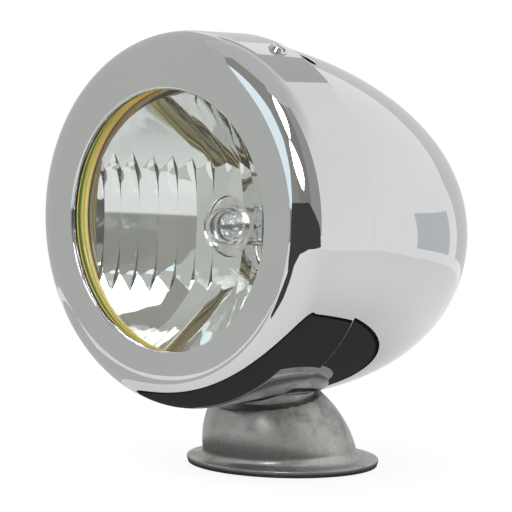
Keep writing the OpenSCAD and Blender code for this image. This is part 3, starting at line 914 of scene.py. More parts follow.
@dataclass
class Optics:
    """Lens, gasket, seal and the fluted reflector behind them.

    The trim and the hole have odd numbers of segments, so that their edges meet none of the columns' edges.
    """

    lamp: LampFrame
    opening_r: float
    drop: float = 2.4 * MM
    focal: float = 16.3 * MM
    bowl_wall: float = 2.6 * MM
    bowl_over: float = 1.1 * MM
    rim_t: float = 2.0 * MM
    hole_r: float = 9.5 * MM
    hole_past: float = 20.0 * MM
    flutes: int = 11
    band_half: float = 42.0 * MM
    band_rise: float = 3.8 * MM
    band_focal: float = 16.3 * MM
    flute_ease: float = 0.4
    flute_step: float = 0.6 * MM
    flute_full: float = 18.6 * MM
    flute_least: float = 0.015
    flute_power: int = 4
    flute_most: float = 1.15
    flute_arc_r: float = 118.0 * MM
    neck_r: float = 21.0 * MM
    neck_long: float = 6.0 * MM
    ear_t: float = 2.6 * MM
    ear_margin: float = 1.6 * MM
    ear_root: float = 3.0 * MM
    ear_gap: float = 0.05 * MM
    trim_gap: float = 0.1 * MM
    trim_past: float = 0.3 * MM
    trim_segments: int = 150
    hole_segments: int = 75
    bore_segments: int = 32
    bevel: float = 0.6 * MM
    ring_gap: float = 0.2 * MM
    ring_edge: float = 0.3 * MM
    ring_edge_steps: int = 5
    lips: int = 6
    lip_r: float = 0.6 * MM
    orange_below: float = 6.0 * MM
    rows: int = 64
    band_rows: int = 48
    column_steps: int = 4
    column_flat: float = 0.35
    sharp: float = 12.0

    @property
    def rim_d(self) -> float:
        """Depth of the reflector's rim."""
        return self.lamp.depths("reflector")[0]

    @property
    def bowl_r(self) -> float:
        """Radius of the bowl at its rim."""
        return self.opening_r + self.bowl_over

    @property
    def apex_d(self) -> float:
        """Depth of the bowl's deepest point."""
        return self.rim_d + self.bowl_r ** 2 / (4 * self.focal)

    @property
    def hole_d(self) -> float:
        """Depth of the bulb hole's edge."""
        return self.apex_d - self.hole_r ** 2 / (4 * self.focal)

    @property
    def on_bulb(self) -> Matrix:
        """Matrix of the bulb's axis, which lies a little below the lens's."""
        return self.lamp.place(self.drop)

    def bowl(self) -> Solid:
        """Filled paraboloid behind the bowl's mirror, from the rim plane to the neck's end.

        Returns:
            The closed solid.
        """
        first, apex, widest = self.rim_d, self.apex_d, self.bowl_r
        points: Outline = [(0.0, first), (widest, first)]
        for i in range(self.rows + 1):
            r = widest + (self.neck_r - widest) * i / self.rows
            points.append((r, apex - r * r / (4 * self.focal) + self.bowl_wall))
        end = self.hole_d + self.neck_long
        return spin_outline(points + [(self.neck_r, end), (0.0, end)], self.on_bulb, closed=False)

    def column_edges(self) -> list[float]:
        """Places of the columns' edges from side to side, closer towards the sides."""
        steps = range(-self.flutes, self.flutes + 1)
        return [self.band_half * math.sin(RIGHT_ANGLE * i / self.flutes) for i in steps]

    def across(self, left: float, right: float) -> list[tuple[float, float, float]]:
        """Places across one column.

        Args:
            left: the column's first edge.
            right: its last edge.

        Returns:
            For each place its distance from the middle, the column's middle and half its width.
        """
        mid, half = (left + right) / 2, (right - left) / 2
        return [(half * (2 * i / self.column_steps - 1), mid, half) for i in range(self.column_steps + 1)]

    def both_ways(self, reach: float) -> list[float]:
        """Places from one side to the other, a reach on either side of the middle."""
        return [reach * (2 * i / self.band_rows - 1) for i in range(self.band_rows + 1)]

    def air_row(self, height: float) -> list[Vector]:
        """Points across the bowl's inside at one height, in columns a little flatter than the bowl.

        Args:
            height: how far below the bulb's axis.

        Returns:
            The closed section's points in order.
        """
        curve, apex = 1 / (4 * self.focal), self.apex_d
        row = [Vector((-self.band_half, height, -self.bowl_r))]
        edges = self.column_edges()
        for left, right in zip(edges, edges[1:]):
            for off, mid, _ in self.across(left, right)[:-1]:
                square = mid * mid + 2 * mid * off + (1 - self.column_flat) * off * off
                row.append(Vector((mid + off, height, apex - curve * (square + height * height))))
        return row + [Vector((self.band_half, height, -self.bowl_r))]

    def air(self) -> Solid:
        """The bowl's inside, drawn in columns and trimmed round.

        Returns:
            The closed solid.
        """
        inside = loft([self.air_row(height) for height in self.both_ways(self.band_half)], self.on_bulb)
        trim = solid_cylinder(self.bowl_r - self.trim_gap, self.rim_d - self.trim_past, self.apex_d + MM,
                              self.on_bulb, self.trim_segments)
        return combine(inside, trim, Cut.KEEP)

    def band_row(self, turn: float) -> list[Vector]:
        """Points across the flutes at one place of their long arc.

        The steps between the flutes fade out at the middle and deepen towards top and bottom.

        Args:
            turn: angle along the arc from the middle.

        Returns:
            The closed section's points in order.
        """
        height = self.flute_arc_r * math.sin(turn)
        share = max(self.flute_least, min((height / self.flute_full) ** self.flute_power, self.flute_most))
        curve, apex = 1 / (4 * self.band_focal), self.apex_d
        edges = self.column_edges()
        front = apex - self.band_rise
        points: Outline = [(-self.band_half, apex + MM)]
        for left, right in zip(edges, edges[1:]):
            for off, mid, half in self.across(left, right):
                lean = 2 * curve * mid * (1 - self.flute_ease * share)
                lean -= math.copysign(self.flute_step * share / 2, mid) / half
                swell = curve * (1 - self.column_flat) * off * off
                points.append((mid + off, front - curve * mid * mid - lean * off - swell))
        points.append((self.band_half, apex + MM))
        pivot, s, c = front - self.flute_arc_r, math.sin(turn), math.cos(turn)
        return [Vector((x, (d - pivot) * s, pivot + (d - pivot) * c)) for x, d in points]

    def band(self) -> Solid:
        """Solid of the flutes, stepped from side to side and drawn along one arc from top to bottom."""
        reach = math.asin((self.bowl_r + 2 * MM) / self.flute_arc_r)
        return loft([self.band_row(turn) for turn in self.both_ways(reach)], self.on_bulb)

    def with_ears(self, body: Solid) -> Solid:
        """Add the ears that carry the clip's hinge wire and the posts that keep its arms in line.

        Args:
            body: the bowl with its neck, freed here.

        Returns:
            The bowl with ears, posts and the bore for the hinge wire.
        """
        low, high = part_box("bulb_clip")
        wire_r, wire_d = (high.y - low.y) / 2, (low.y + high.y) / 2 - self.lamp.face_y
        bulb_z, out = self.lamp.axis_z - self.drop, -low.x
        hinge_y, reach = bulb_z - high.z + wire_r, bulb_z - low.z - wire_r
        half = wire_r + self.ear_margin
        root = self.hole_d + self.neck_long - self.ear_root
        ear = (hinge_y - half, hinge_y + half, wire_d + half)
        post = (reach - wire_r - 2 * half, reach - wire_r, wire_d + wire_r)
        for left in (-out, out - self.ear_t):
            for top, bottom, back in (ear, post):
                block = solid_box((left, top, root), (left + self.ear_t, bottom, back), self.on_bulb)
                body = combine(body, block, Cut.ADD)
        sideways = Matrix.Translation((0, hinge_y, wire_d)) @ Matrix.Rotation(RIGHT_ANGLE, 4, "Y")
        bore = solid_cylinder(wire_r + self.ear_gap, -out - MM, out + MM, self.on_bulb @ sideways,
                              self.bore_segments)
        return combine(body, bore, Cut.TAKE)

    def build_reflector(self, mirror: Material) -> None:
        """Make the bowl with its rim, flutes, neck, hole and the ears for the clip.

        Args:
            mirror: the finish.
        """
        rim = solid_cylinder(half_width("reflector"), self.rim_d, self.rim_d + self.rim_t, self.lamp.place(),
                             SEGMENTS)
        body = self.with_ears(combine(self.bowl(), rim, Cut.ADD))
        hole = solid_cylinder(self.hole_r, self.rim_d - MM, self.hole_d + self.hole_past, self.on_bulb,
                              self.hole_segments)
        inside = combine(combine(self.air(), self.band(), Cut.TAKE), hole, Cut.ADD)
        finish_piece(combine(body, inside, Cut.TAKE), "fluted_reflector", Body.HEAD,
                     mirror, ["reflector"], self.sharp)

    def build_lens(self, glass: Material) -> None:
        """Make the flat glass with its ground bevels.

        Args:
            glass: the finish.
        """
        first, last = self.lamp.depths("lens")
        radius, bevel = half_width("lens"), self.bevel
        points: Outline = [(0.0, first), (radius - bevel, first), (radius, first + bevel),
                           (radius, last - bevel), (radius - bevel, last), (0.0, last)]
        finish_piece(spin_outline(points, self.lamp.place(), closed=False), "lens_glass", Body.HEAD,
                     glass, ["lens"])

    def build_gasket(self) -> None:
        """Make the gasket around the lens edge."""
        first, last = self.lamp.depths("lens_gasket")
        glass, _ = self.lamp.depths("lens")
        outer, inner, edge = half_width("lens_gasket"), self.opening_r + self.ring_gap, self.ring_edge
        pocket = half_width("lens") + self.ring_gap
        lip = arc((inner + edge, first + edge), edge, 270, 180, self.ring_edge_steps)
        points = [(outer, last), (outer, first)] + lip + [(inner, glass), (pocket, glass), (pocket, last)]
        finish = GasketFinish("amber_edged_rubber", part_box("lens_gasket")[0].y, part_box("lens")[0].y)
        finish_piece(spin_outline(points, self.lamp.place()), "gasket_ring", Body.HEAD,
                     finish.material(), ["lens_gasket"])

    def build_seal(self) -> None:
        """Make the banded lip seal between lens and bowl."""
        first, last = self.lamp.depths("lens_seal")
        low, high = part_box("lens_seal")
        outer, inner, pitch = half_width("lens_gasket"), self.bowl_r, (last - first) / self.lips
        points = [(outer, first)]
        for i in range(self.lips):
            points += [(inner, first + i * pitch), (inner + self.lip_r, first + (i + 1) * pitch)]
        finish = SealFinish("banded_seal_rubber", low.y, high.y - low.y, self.lamp.axis_z,
                            high.z - self.orange_below)
        finish_piece(spin_outline(points + [(outer, last)], self.lamp.place()), "seal_ring", Body.HEAD,
                     finish.material(), ["lens_seal"])


@dataclass
class Bulb:
    """Halogen capsule: quartz, wound filament and the bright cup that its foot stands in."""

    lamp: LampFrame
    drop: float
    wall: float = 0.8 * MM
    coil_r: float = 0.62 * MM
    coil_front: float = 0.7 * MM
    coil_turns: int = 9
    turn_steps: int = 20
    wire_r: float = 0.12 * MM
    wire_segments: int = 8
    leg_r: float = 0.3 * MM
    leg_segments: int = 16
    cup_steps: int = 5
    cup_low_r: float = 1.3 * MM
    cup_deep: float = 4.2 * MM
    cup_wall: float = 0.4 * MM
    cup_gap: float = 0.15 * MM
    cup_lift: float = 0.1 * MM
    step_narrow: float = 0.9
    step_taper: float = 0.25
    step_long: float = 0.8
    dome_steps: int = 24
    inner_dome_steps: int = 20
    segments: int = 96

    def build_cup(self, plate: Material) -> None:
        """Make the bright stepped cup that the capsule's foot stands in, seen through the quartz.

        Args:
            plate: the finish.
        """
        wide = half_width("bulb_capsule") - self.wall - self.cup_gap
        last = self.lamp.depths("bulb_capsule")[1] - self.cup_lift
        first = last - self.cup_deep
        step_r, step_d = (wide - self.cup_low_r) / self.cup_steps, self.cup_deep / self.cup_steps
        points: Outline = [(wide, last), (wide, first)]
        for i in range(self.cup_steps):
            inner = wide - self.cup_wall - step_r * i * self.step_narrow
            points += [(inner, first + step_d * i),
                       (inner - step_r * self.step_taper, first + step_d * (i + self.step_long))]
        points += [(self.cup_low_r, last - self.cup_wall), (self.cup_low_r, last)]
        cup = spin_outline(points, self.lamp.place(self.drop), self.segments)
        finish_piece(cup, "stepped_cup", Body.HEAD, plate)

    def build_capsule(self, quartz: Material) -> None:
        """Make the quartz tube with its domed end.

        Args:
            quartz: the finish.
        """
        radius = half_width("bulb_capsule")
        first, last = self.lamp.depths("bulb_capsule")
        inner, dome = radius - self.wall, first + radius
        points = (arc((0.0, dome), radius, -90, 0, self.dome_steps) + [(radius, last), (inner, last)]
                  + arc((0.0, dome), inner, 0, -90, self.inner_dome_steps))
        finish_piece(spin_outline(points, self.lamp.place(self.drop), self.segments, closed=False),
                     "quartz_capsule", Body.HEAD, quartz, ["bulb_capsule"])

    def build_filament(self, tungsten: Material) -> None:
        """Wind the coil across the axis and stand it on its two legs.

        Args:
            tungsten: the finish.
        """
        low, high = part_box("filament")
        half = half_width("filament") - self.wire_r
        front = low.y + self.coil_front
        steps = self.turn_steps * self.coil_turns
        bm = bmesh.new()
        bmesh.ops.create_circle(bm, segments=self.wire_segments, radius=self.wire_r,
                                matrix=Matrix.Translation((-half, self.coil_r, 0)))
        bmesh.ops.spin(bm, geom=bm.verts[:] + bm.edges[:], cent=(0, 0, 0), axis=(1, 0, 0),
                       angle=FULL_TURN * self.coil_turns, dvec=(2 * half / steps, 0, 0), steps=steps,
                       use_merge=False, use_duplicate=False)
        close_up(bm)
        bmesh.ops.translate(bm, verts=bm.verts, vec=(0, front, (low.z + high.z) / 2))
        first, last = front - self.lamp.face_y, high.y - self.lamp.face_y
        for side in (-1, 1):
            place = self.lamp.place(self.drop) @ Matrix.Translation((side * (half - self.leg_r), 0, 0))
            join(bm, solid_cylinder(self.leg_r, first, last, place, self.leg_segments))
        finish_piece(bm, "wound_filament", Body.HEAD, tungsten, ["filament"])


@dataclass
class Pedestal:
    """Pressed dome that leans forward, with a round flange, a fillet, a sloping top and a flat boss."""

    lean: float = math.radians(42.5)
    long_r: float = 32.5 * MM
    wide_r: float = 23.3 * MM
    dome_back: float = 5.1 * MM
    foot_back: float = 5.8 * MM
    wall: float = 2.0 * MM
    foot_t: float = 1.4 * MM
    fillet: float = 3.0 * MM
    fillet_steps: int = 12
    edge_r: float = 0.45 * MM
    edge_steps: int = 6
    top_slope: float = math.radians(7.4)
    top_edge: float = 0.9 * MM
    top_edge_steps: int = 5
    top_past: float = 1.5 * MM
    rim_angle: float = math.radians(20)
    boss_rise: float = 1.8 * MM
    boss_r: float = 13.3 * MM
    boss_edge: float = 0.35 * MM
    boss_edge_steps: int = 5
    boss_segments: int = 128
    bolt_r: float = 4.05 * MM
    bolt_deep: float = 4.0 * MM
    bolt_segments: int = 64
    pad_gap: float = 0.3 * MM
    pad_edge: float = 0.25 * MM
    pad_edge_steps: int = 4
    sharp: float = 30.0
    rows: int = 44

    @property
    def crown_z(self) -> float:
        """Height of the boss's flat top."""
        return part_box("pedestal")[1].z

    @property
    def middle_z(self) -> float:
        """Height of the dome's middle, on the flange's top."""
        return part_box("pedestal")[0].z + self.foot_t

    def section(self, height: float, inset: float = 0.0, grow: float = 0.0) -> Matrix:
        """Ellipse in which the leaning dome is cut at a height above its middle.

        Args:
            height: height above the dome's middle plane.
            inset: how far the dome is drawn in.
            grow: how far the ellipse itself is widened.

        Returns:
            A matrix that turns the unit circle into that section.
        """
        s, c = math.sin(self.lean), math.cos(self.lean)
        wide_r = self.wide_r - inset
        long2, wide2 = 1 / (self.long_r - inset) ** 2, 1 / wide_r ** 2
        across = s * s * long2 + c * c * wide2
        skew = s * c * (wide2 - long2)
        upright = c * c * long2 + s * s * wide2 - skew * skew / across
        share = math.sqrt(max(1 - height * height * upright, 0.0))
        centre = (0, self.dome_back - skew / across * height, self.middle_z + height)
        size = (wide_r * share + grow, share / math.sqrt(across) + grow, 1, 1)
        return Matrix.Translation(centre) @ Matrix.Diagonal(size)

    def outer_rings(self) -> list[Matrix]:
        """Rings from the flange's underside over its edge and the fillet, up past the top.

        Returns:
            Matrices of the unit circle, from the lowest up.
        """
        foot_r, edge = half_width("pedestal") - self.edge_r, self.edge_r
        low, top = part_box("pedestal")[0].z, self.middle_z
        flange = (arc((foot_r, low + edge), edge, -90, 0, self.edge_steps)
                  + arc((foot_r, top - edge), edge, 0, 90, self.edge_steps))
        rings = [Matrix.Translation((0, self.foot_back, z)) @ Matrix.Diagonal((r, r, 1, 1))
                 for r, z in flange]
        for step in range(self.fillet_steps + 1):
            turn = RIGHT_ANGLE * step / self.fillet_steps
            rise, grow = self.fillet * (1 - math.cos(turn)), self.fillet * (1 - math.sin(turn))
            rings.append(self.section(rise, grow=grow))
        reach = self.crown_z - top + self.top_past - self.fillet
        return rings + [self.section(self.fillet + reach * i / self.rows) for i in range(1, self.rows + 1)]

    def inner_rings(self) -> list[Matrix]:
        """Rings of the hollow, from below the flange up past its own top.

        Returns:
            Matrices of the unit circle, from the lowest up.
        """
        start = -self.foot_t - MM
        reach = self.crown_z - self.middle_z - start
        return [self.section(start + reach * i / self.rows, self.wall) for i in range(self.rows + 1)]

    def swept(self, rings: Sequence[Matrix], drop: float, edge: float) -> Solid:
        """Closed solid through a row of rings, cut off under the sloping top.

        Args:
            rings: matrices of the unit circle, from the lowest up.
            drop: how far the top lies below the pedestal's own.
            edge: size of the rounding along the top's rim, or 0.

        Returns:
            The solid.
        """
        circle = [Vector((x, y, 0.0)) for x, y in arc((0.0, 0.0), 1.0, 0, 360, SEGMENTS)[:-1]]
        bm = loft([[ring @ spot for spot in circle] for ring in rings])
        crown = self.crown_z - drop
        slope = Vector((0, -math.sin(self.top_slope), math.cos(self.top_slope)))
        for height, normal in ((crown - self.boss_rise, slope), (crown, Vector((0, 0, 1)))):
            bmesh.ops.bisect_plane(bm, geom=bm.verts[:] + bm.edges[:] + bm.faces[:], dist=MERGE,
                                   plane_co=(0, 0, height), plane_no=normal, clear_outer=True)
            close_up(bm)
        if edge:
            lowest = self.middle_z + self.fillet
            rim = [e for e in bm.edges if len(e.link_faces) == 2 and e.verts[0].co.z > lowest
                   and e.calc_face_angle(0.0) > self.rim_angle]
            bmesh.ops.bevel(bm, geom=rim, offset=edge, offset_type="OFFSET", segments=self.top_edge_steps,
                            profile=0.5, affect="EDGES", material=-1)
        return bm

    def boss(self, shrink: float) -> Solid:
        """Flat round boss on the sloping top, or the room inside it.

        Args:
            shrink: how far it is drawn in: 0 for the boss, the wall for the room.

        Returns:
            The closed solid.
        """
        radius, top, edge = self.boss_r - shrink, self.crown_z - shrink, self.boss_edge
        low = top + shrink - self.boss_rise - self.wall - 2 * radius * math.tan(self.top_slope)
        rim = arc((radius - edge, top - edge), edge, 0, 90, self.boss_edge_steps)
        outline = [(0.0, low), (radius, low)] + rim + [(0.0, top)]
        return spin_outline(outline, UPRIGHT, self.boss_segments, closed=False)

    def build(self, plate: Material) -> None:
        """Draw the dome ring by ring, set the boss on it, and hollow both.

        Args:
            plate: the finish.
        """
        dome = combine(self.swept(self.outer_rings(), 0.0, self.top_edge), self.boss(0.0), Cut.ADD)
        hole = solid_cylinder(self.bolt_r, self.crown_z - self.bolt_deep, self.crown_z + MM,
                              segments=self.bolt_segments)
        for room in (self.swept(self.inner_rings(), self.wall, 0.0), self.boss(self.wall), hole):
            dome = combine(dome, room, Cut.TAKE)
        finish_piece(dome, "leaning_pedestal", Body.FOOT, plate, ["pedestal"], self.sharp)

    def build_pad(self, rubber: Material) -> None:
        """Make the thin rubber ring under the flange.

        Args:
            rubber: the finish.
        """
        low, high = (corner.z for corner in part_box("base_pad"))
        edge = self.pad_edge
        outer, inner = half_width("base_pad") - edge, self.wide_r - self.wall - self.pad_gap + edge
        corners = ((outer, low + edge, -90), (outer, high - edge, 0), (inner, high - edge, 90),
                   (inner, low + edge, 180))
        points = [spot for r, z, start in corners
                  for spot in arc((r, z), edge, start, start + 90, self.pad_edge_steps)]
        finish_piece(spin_outline(points, Matrix.Translation((0, self.foot_back, 0))), "foot_pad", Body.FOOT,
                     rubber, ["base_pad"])


# Studio

def show_only_in_metal(bm: Solid, name: str, colour: Colour, strength: float = 1.0) -> None:
    """Make a stage panel of a mesh that only mirrors and glass see.

    Args:
        bm: the mesh, freed here.
        name: the panel's name.
        colour: the colour that it shines with.
        strength: how bright it is.
    """
    material = bpy.data.materials.new(name)
    nodes = Nodes(material)
    light = nodes.add("Emission", {"Color": (*colour, 1.0), "Strength": strength})
    nodes.add("OutputMaterial", {"Surface": light.outputs["Emission"]})
    obj = put_in_scene(bm, name, material)
    obj.visible_camera = False
    obj.visible_diffuse = False
    obj.visible_shadow = False


@dataclass(frozen=True)
class Panel:
    """A plain panel round the lamp that shows in the metal but not to the camera.

    Its rows go upwards, each an elevation from the lamp's middle with a first and a last azimuth.
    """

    name: str
    distance: float
    rows: tuple[tuple[float, float, float], ...]
    colour: Colour
    strength: float = 1.0
    centre: tuple[float, float, float] = (0.0, -0.01217, 0.075)
    steps: int = 24

    def build(self) -> None:
        """Bend the panel round the lamp and make it a stage piece."""
        bm = bmesh.new()
        chains = []
        for elevation, first, last in self.rows:
            height = self.distance * math.tan(math.radians(elevation))
            row = []
            for i in range(self.steps + 1):
                a = math.radians(first + (last - first) * i / self.steps)
                spot = Vector((math.sin(a) * self.distance, -math.cos(a) * self.distance, height))
                row.append(bm.verts.new(spot + Vector(self.centre)))
            chains.append([bm.edges.new(pair) for pair in zip(row, row[1:])])
        for low, high in zip(chains, chains[1:]):
            bmesh.ops.bridge_loops(bm, edges=low + high)
        show_only_in_metal(bm, self.name, self.colour, self.strength)


@dataclass(frozen=True)
class FloorCard:
    """A plain sheet on the floor that shows in the metal but not to the camera, corners in millimetres."""

    name: str
    corners: tuple[tuple[float, float], ...]
    colour: Colour
    height: float = 0.1 * MM

    def build(self) -> None:
        """Fill the corners' outline and make it a stage piece."""
        bm = bmesh.new()
        verts = [bm.verts.new((x * MM, y * MM, self.height)) for x, y in self.corners]
        bmesh.ops.contextual_create(bm, geom=verts)
        show_only_in_metal(bm, self.name, self.colour)


@dataclass(frozen=True)
class TableDisc:
    """A dark oval just above the floor that shows only in the underside's reflections."""

    name: str
    shrink: float
    height: float
    tone: float
    middle: tuple[float, float] = (0.022, -0.008)
    radii: tuple[float, float] = (0.078, 0.073)
    tint: Colour = (1.0, 1.05, 1.1)
    segments: int = 64

    def build(self) -> None:
        """Draw the oval and make it a stage piece."""
        bm = bmesh.new()
        size = Matrix.Diagonal((*(r - self.shrink for r in self.radii), 1, 1))
        bmesh.ops.create_circle(bm, cap_ends=True, segments=self.segments, radius=1.0,
                                matrix=Matrix.Translation((*self.middle, self.height)) @ size)
        red, green, blue = (self.tone * share for share in self.tint)
        show_only_in_metal(bm, self.name, (red, green, blue))


@dataclass(frozen=True)
class SoftLamp:
    """A square area lamp that mirrors don't show."""

    name: str
    place: tuple[float, float, float]
    size: float
    power: float

    def build(self, aim: Vector) -> None:
        """Hang the lamp in its place and turn it to what it lights.

        Args:
            aim: the point that it faces.
        """
        data = bpy.data.lights.new(self.name, "AREA")
        data.size = self.size
        data.energy = self.power
        lamp = bpy.data.objects.new(self.name, data)
        bpy.context.scene.collection.objects.link(lamp)
        lamp.location = self.place
        lamp.rotation_euler = (Vector(self.place) - aim).to_track_quat("Z", "Y").to_euler()
        lamp.visible_glossy = False


class Studio:
    """Pale floor, white surround, soft lamps and the camera."""

    AIM = Vector((0.0, -0.01217, 0.06))
    AZIMUTH = 41.31
    ELEVATION = 4.75
    ROLL = 1.5
    DISTANCE = 0.68829
    FOCAL_PX = 2200.0
    IMAGE_PX = 512.0
    AIM_PX = (250.28, 278.44)
    SENSOR = 36.0
    CLIP_START = 0.01
    WHITE = (1.0, 1.0, 1.0, 1.0)
    PLAIN_LIGHT = 0.75
    CEILING = ((0.0, 1.0), (0.6, 0.98), (0.92, 0.64))
    FLOOR_R = 0.39
    FLOOR_Z = -0.2 * MM
    FLOOR_SEGMENTS = 96
    FLOOR_PAINT = (0.9, 0.9, 0.9, 1.0)
    FLOOR_GLOW = 1.08
    FLOOR_GLOW_SHARE = 0.8
    GREY = (0.6, 0.605, 0.585)
    DISCS = (TableDisc("table_edge", 0.0, 0.05 * MM, 0.01), TableDisc("table_top", 4.0 * MM, 0.1 * MM, 0.04))
    LAMPS = (SoftLamp("key_lamp", (0.5, -0.9, 1.1), 0.8, 6.0),
             SoftLamp("fill_lamp", (-0.9, -0.3, 0.9), 1.0, 4.0))
    PANELS = (
        Panel("grey_board", 0.3, ((-14.3, -128, -9.5), (4.2, -128, -0.4), (33, -128, -12.8), (64, -128, -34)),
              GREY),
        Panel("back_board", 2.5, ((-8, -178, -128), (10, -178, -128), (19, -168, -128), (25, -156, -128)),
              (0.7, 0.7, 0.7)),
        Panel("back_strip", 2.5, ((34, -175.5, -138), (48, -175.5, -138)), (0.54, 0.54, 0.54)),
        Panel("back_window", 2.5, ((-8, 157, 175), (3.8, 157, 175)), (0.66, 0.67, 0.69)),
        Panel("wall_left", 1.7, ((-5.3, -36, 24), (68, -36, 24)), (0.36, 0.35, 0.32)),
        Panel("wall_middle", 1.7, ((-5.3, 24, 62), (62, 24, 62)), (0.3, 0.3, 0.28)),
        Panel("wall_right", 1.7, ((-5.3, 62, 95), (62, 62, 95)), (0.42, 0.42, 0.4)),
        Panel("dark_block", 0.06, ((-38, -22, -19), (-35, -25, -4), (-28.5, -20, 4), (-22, -9, 10),
                                   (-17.5, -12, 26), (-16, -13, 56), (-14.5, -13, 100), (-1, -12.7, 93),
                                   (3, -11, 88), (10, -6, 74), (15, 33, 62), (17, 50, 56)),
              (0.07, 0.07, 0.072), centre=(0.053, -0.049, 0.079)),
        Panel("high_softbox", 1.3, ((35, 31, 33), (39, 28, 38), (45, 26, 43), (50, 26, 46), (56, 28, 46),
                                    (62, 33, 40)), (1.0, 0.99, 0.95), 8.0),
        Panel("low_softbox", 1.3, ((14, 36, 42), (17, 27, 45), (20, 23.5, 48), (25, 24, 48), (30, 26, 42),
                                   (33.5, 29, 34)), (1.0, 1.0, 1.0), 8.0),
        Panel("window", 1.4, ((1, -30, -5), (4, -30, 0), (14, -30, 8), (26, -30, 12), (38, -30, 6),
                              (44, -30, -8), (47, -30, -22)), (0.8, 0.93, 1.0), 1.35),
    )
    CARDS = (
        FloorCard("grey_sheet", ((-25, -200), (-38, -300), (-240, -190), (-240, 200), (-100, 100),
                                 (-130, -110)), GREY),
    )

    def build_camera(self) -> None:
        """Set the camera at the photograph's place, roll and framing."""
        a, e = math.radians(self.AZIMUTH), math.radians(self.ELEVATION)
        back = Vector((math.sin(a) * math.cos(e), -math.cos(a) * math.cos(e), math.sin(e)))
        right = Vector((math.cos(a), math.sin(a), 0))
        turned = Matrix((right, back.cross(right), back)).transposed().to_4x4()
        data = bpy.data.cameras.new("camera")
        data.sensor_width = self.SENSOR
        data.lens = self.SENSOR * self.FOCAL_PX / self.IMAGE_PX
        data.shift_x = 0.5 - self.AIM_PX[0] / self.IMAGE_PX
        data.shift_y = self.AIM_PX[1] / self.IMAGE_PX - 0.5
        data.clip_start = self.CLIP_START
        camera = bpy.data.objects.new("camera", data)
        bpy.context.scene.collection.objects.link(camera)
        camera.matrix_world = (Matrix.Translation(self.AIM + back * self.DISTANCE) @ turned
                               @ Matrix.Rotation(math.radians(self.ROLL), 4, "Z"))
        bpy.context.scene.camera = camera

    def build_world(self) -> None:
        """White surround that metal and glass show too, and plain light for the rest."""
        world = bpy.data.worlds.new("studio")
        bpy.context.scene.world = world
        nodes = Nodes(world)
        path = nodes.add("LightPath").outputs
        rays = {0: path["Is Glossy Ray"], 1: path["Is Transmission Ray"]}
        seen = nodes.add("Math", rays, operation="MAXIMUM")
        up = nodes.add("SeparateXYZ", {"Vector": nodes.add("TexCoord").outputs["Generated"]}).outputs["Z"]
        faded = nodes.ramp(up, [(height, (tone, tone, tone)) for height, tone in self.CEILING])
        plain, ceiling, white = (
            nodes.add("Background", {"Color": colour, "Strength": strength}).outputs["Background"]
            for colour, strength in ((self.WHITE, self.PLAIN_LIGHT), (faded, 1.0), (self.WHITE, 1.0)))
        light = nodes.add("MixShader", {"Fac": seen.outputs["Value"], 1: plain, 2: ceiling}).outputs["Shader"]
        light = nodes.add("MixShader", {"Fac": path["Is Camera Ray"], 1: light, 2: white}).outputs["Shader"]
        nodes.add("OutputWorld", {"Surface": light})

    def build_floor(self) -> None:
        """Pale floor that keeps the lamp's shadow, white to the camera where nothing shades it."""
        bm = bmesh.new()
        bmesh.ops.create_circle(bm, cap_ends=True, segments=self.FLOOR_SEGMENTS, radius=self.FLOOR_R,
                                matrix=Matrix.Translation((self.AIM.x, self.AIM.y, self.FLOOR_Z)))
        material = bpy.data.materials.new("pale_floor")
        nodes = Nodes(material)
        paint = nodes.add("BsdfDiffuse", {"Color": self.FLOOR_PAINT}).outputs["BSDF"]
        glow = nodes.add("Emission", {"Strength": self.FLOOR_GLOW}).outputs["Emission"]
        to_camera = nodes.add("LightPath").outputs["Is Camera Ray"]
        share = nodes.add("Math", {0: to_camera, 1: self.FLOOR_GLOW_SHARE}, operation="MULTIPLY")
        mixed = nodes.add("MixShader", {"Fac": share.outputs["Value"], 1: paint, 2: glow})
        nodes.add("OutputMaterial", {"Surface": mixed.outputs["Shader"]})
        put_in_scene(bm, "pale_floor", material)

    def build(self) -> None:
        """Set up the whole studio."""
        self.build_camera()
        self.build_world()
        self.build_floor()
        for disc in self.DISCS:
            disc.build()
        for lamp in self.LAMPS:
            lamp.build(self.AIM)
        for card in self.PANELS + self.CARDS:
            card.build()


def dress(node: str, material: Material) -> None:
    """Give a node that keeps its own shape a finish.

    Args:
        node: the node's name.
        material: the finish.
    """
    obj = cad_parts[node]
    obj.data.materials.clear()
    obj.data.materials.append(material)
    LOG.info("%s keeps its shape, finish %s", node, material.name)


def main() -> None:
    """Build every sub-assembly, dress the plain nodes and set up the studio."""
    logging.basicConfig(level=logging.INFO, format="%(name)s: %(message)s")
    bpy.context.scene.view_settings.view_transform = "Standard"
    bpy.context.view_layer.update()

    chrome, zinc, mirror, rubber, nickel = (f.material() for f in (CHROME, ZINC, MIRROR, RUBBER, NICKEL))
    lamp = LampFrame.from_frame()
    bezel = Bezel(lamp)
    bezel.build(chrome)
    BulletShell(lamp).build(chrome)
    optics = Optics(lamp, bezel.opening_r)
    optics.build_reflector(mirror)
    optics.build_lens(GLASS.material())
    optics.build_gasket()
    optics.build_seal()
    bulb = Bulb(lamp, optics.drop)
    bulb.build_capsule(QUARTZ.material())
    bulb.build_filament(TUNGSTEN.material())
    bulb.build_cup(BRIGHT_CUP.material())
    pedestal = Pedestal()
    pedestal.build(WornPlate().material())
    pedestal.build_pad(rubber)

    plain = {"bulb_sleeve": nickel, "bulb_blade": nickel, "bezel_screw": chrome, "wire_grommet": rubber,
             "retaining_ring": PASSIVATED.material(), "bulb_ceramic": CERAMIC.material(),
             "swivel_washer": FIBRE.material()}
    for node in ("clamp_bolt", "clamp_washer", "crown_washer", "spring_washer", "coupling_nut", "bezel_nut",
                 "ring_screws", "bulb_clip"):
        plain[node] = zinc
    for node, material in plain.items():
        dress(node, material)

    Studio().build()


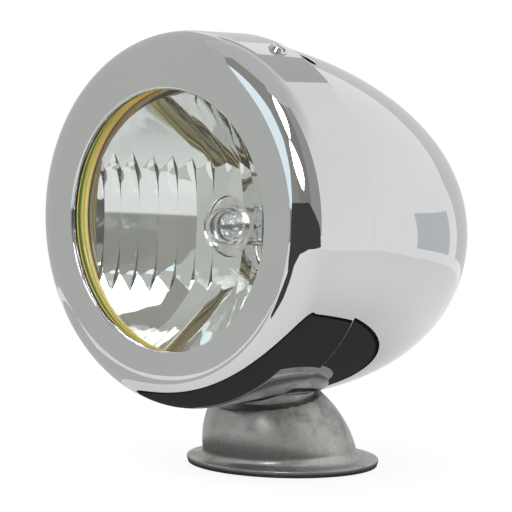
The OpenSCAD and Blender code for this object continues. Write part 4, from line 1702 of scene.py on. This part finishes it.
if __name__ == "__main__":
    main()
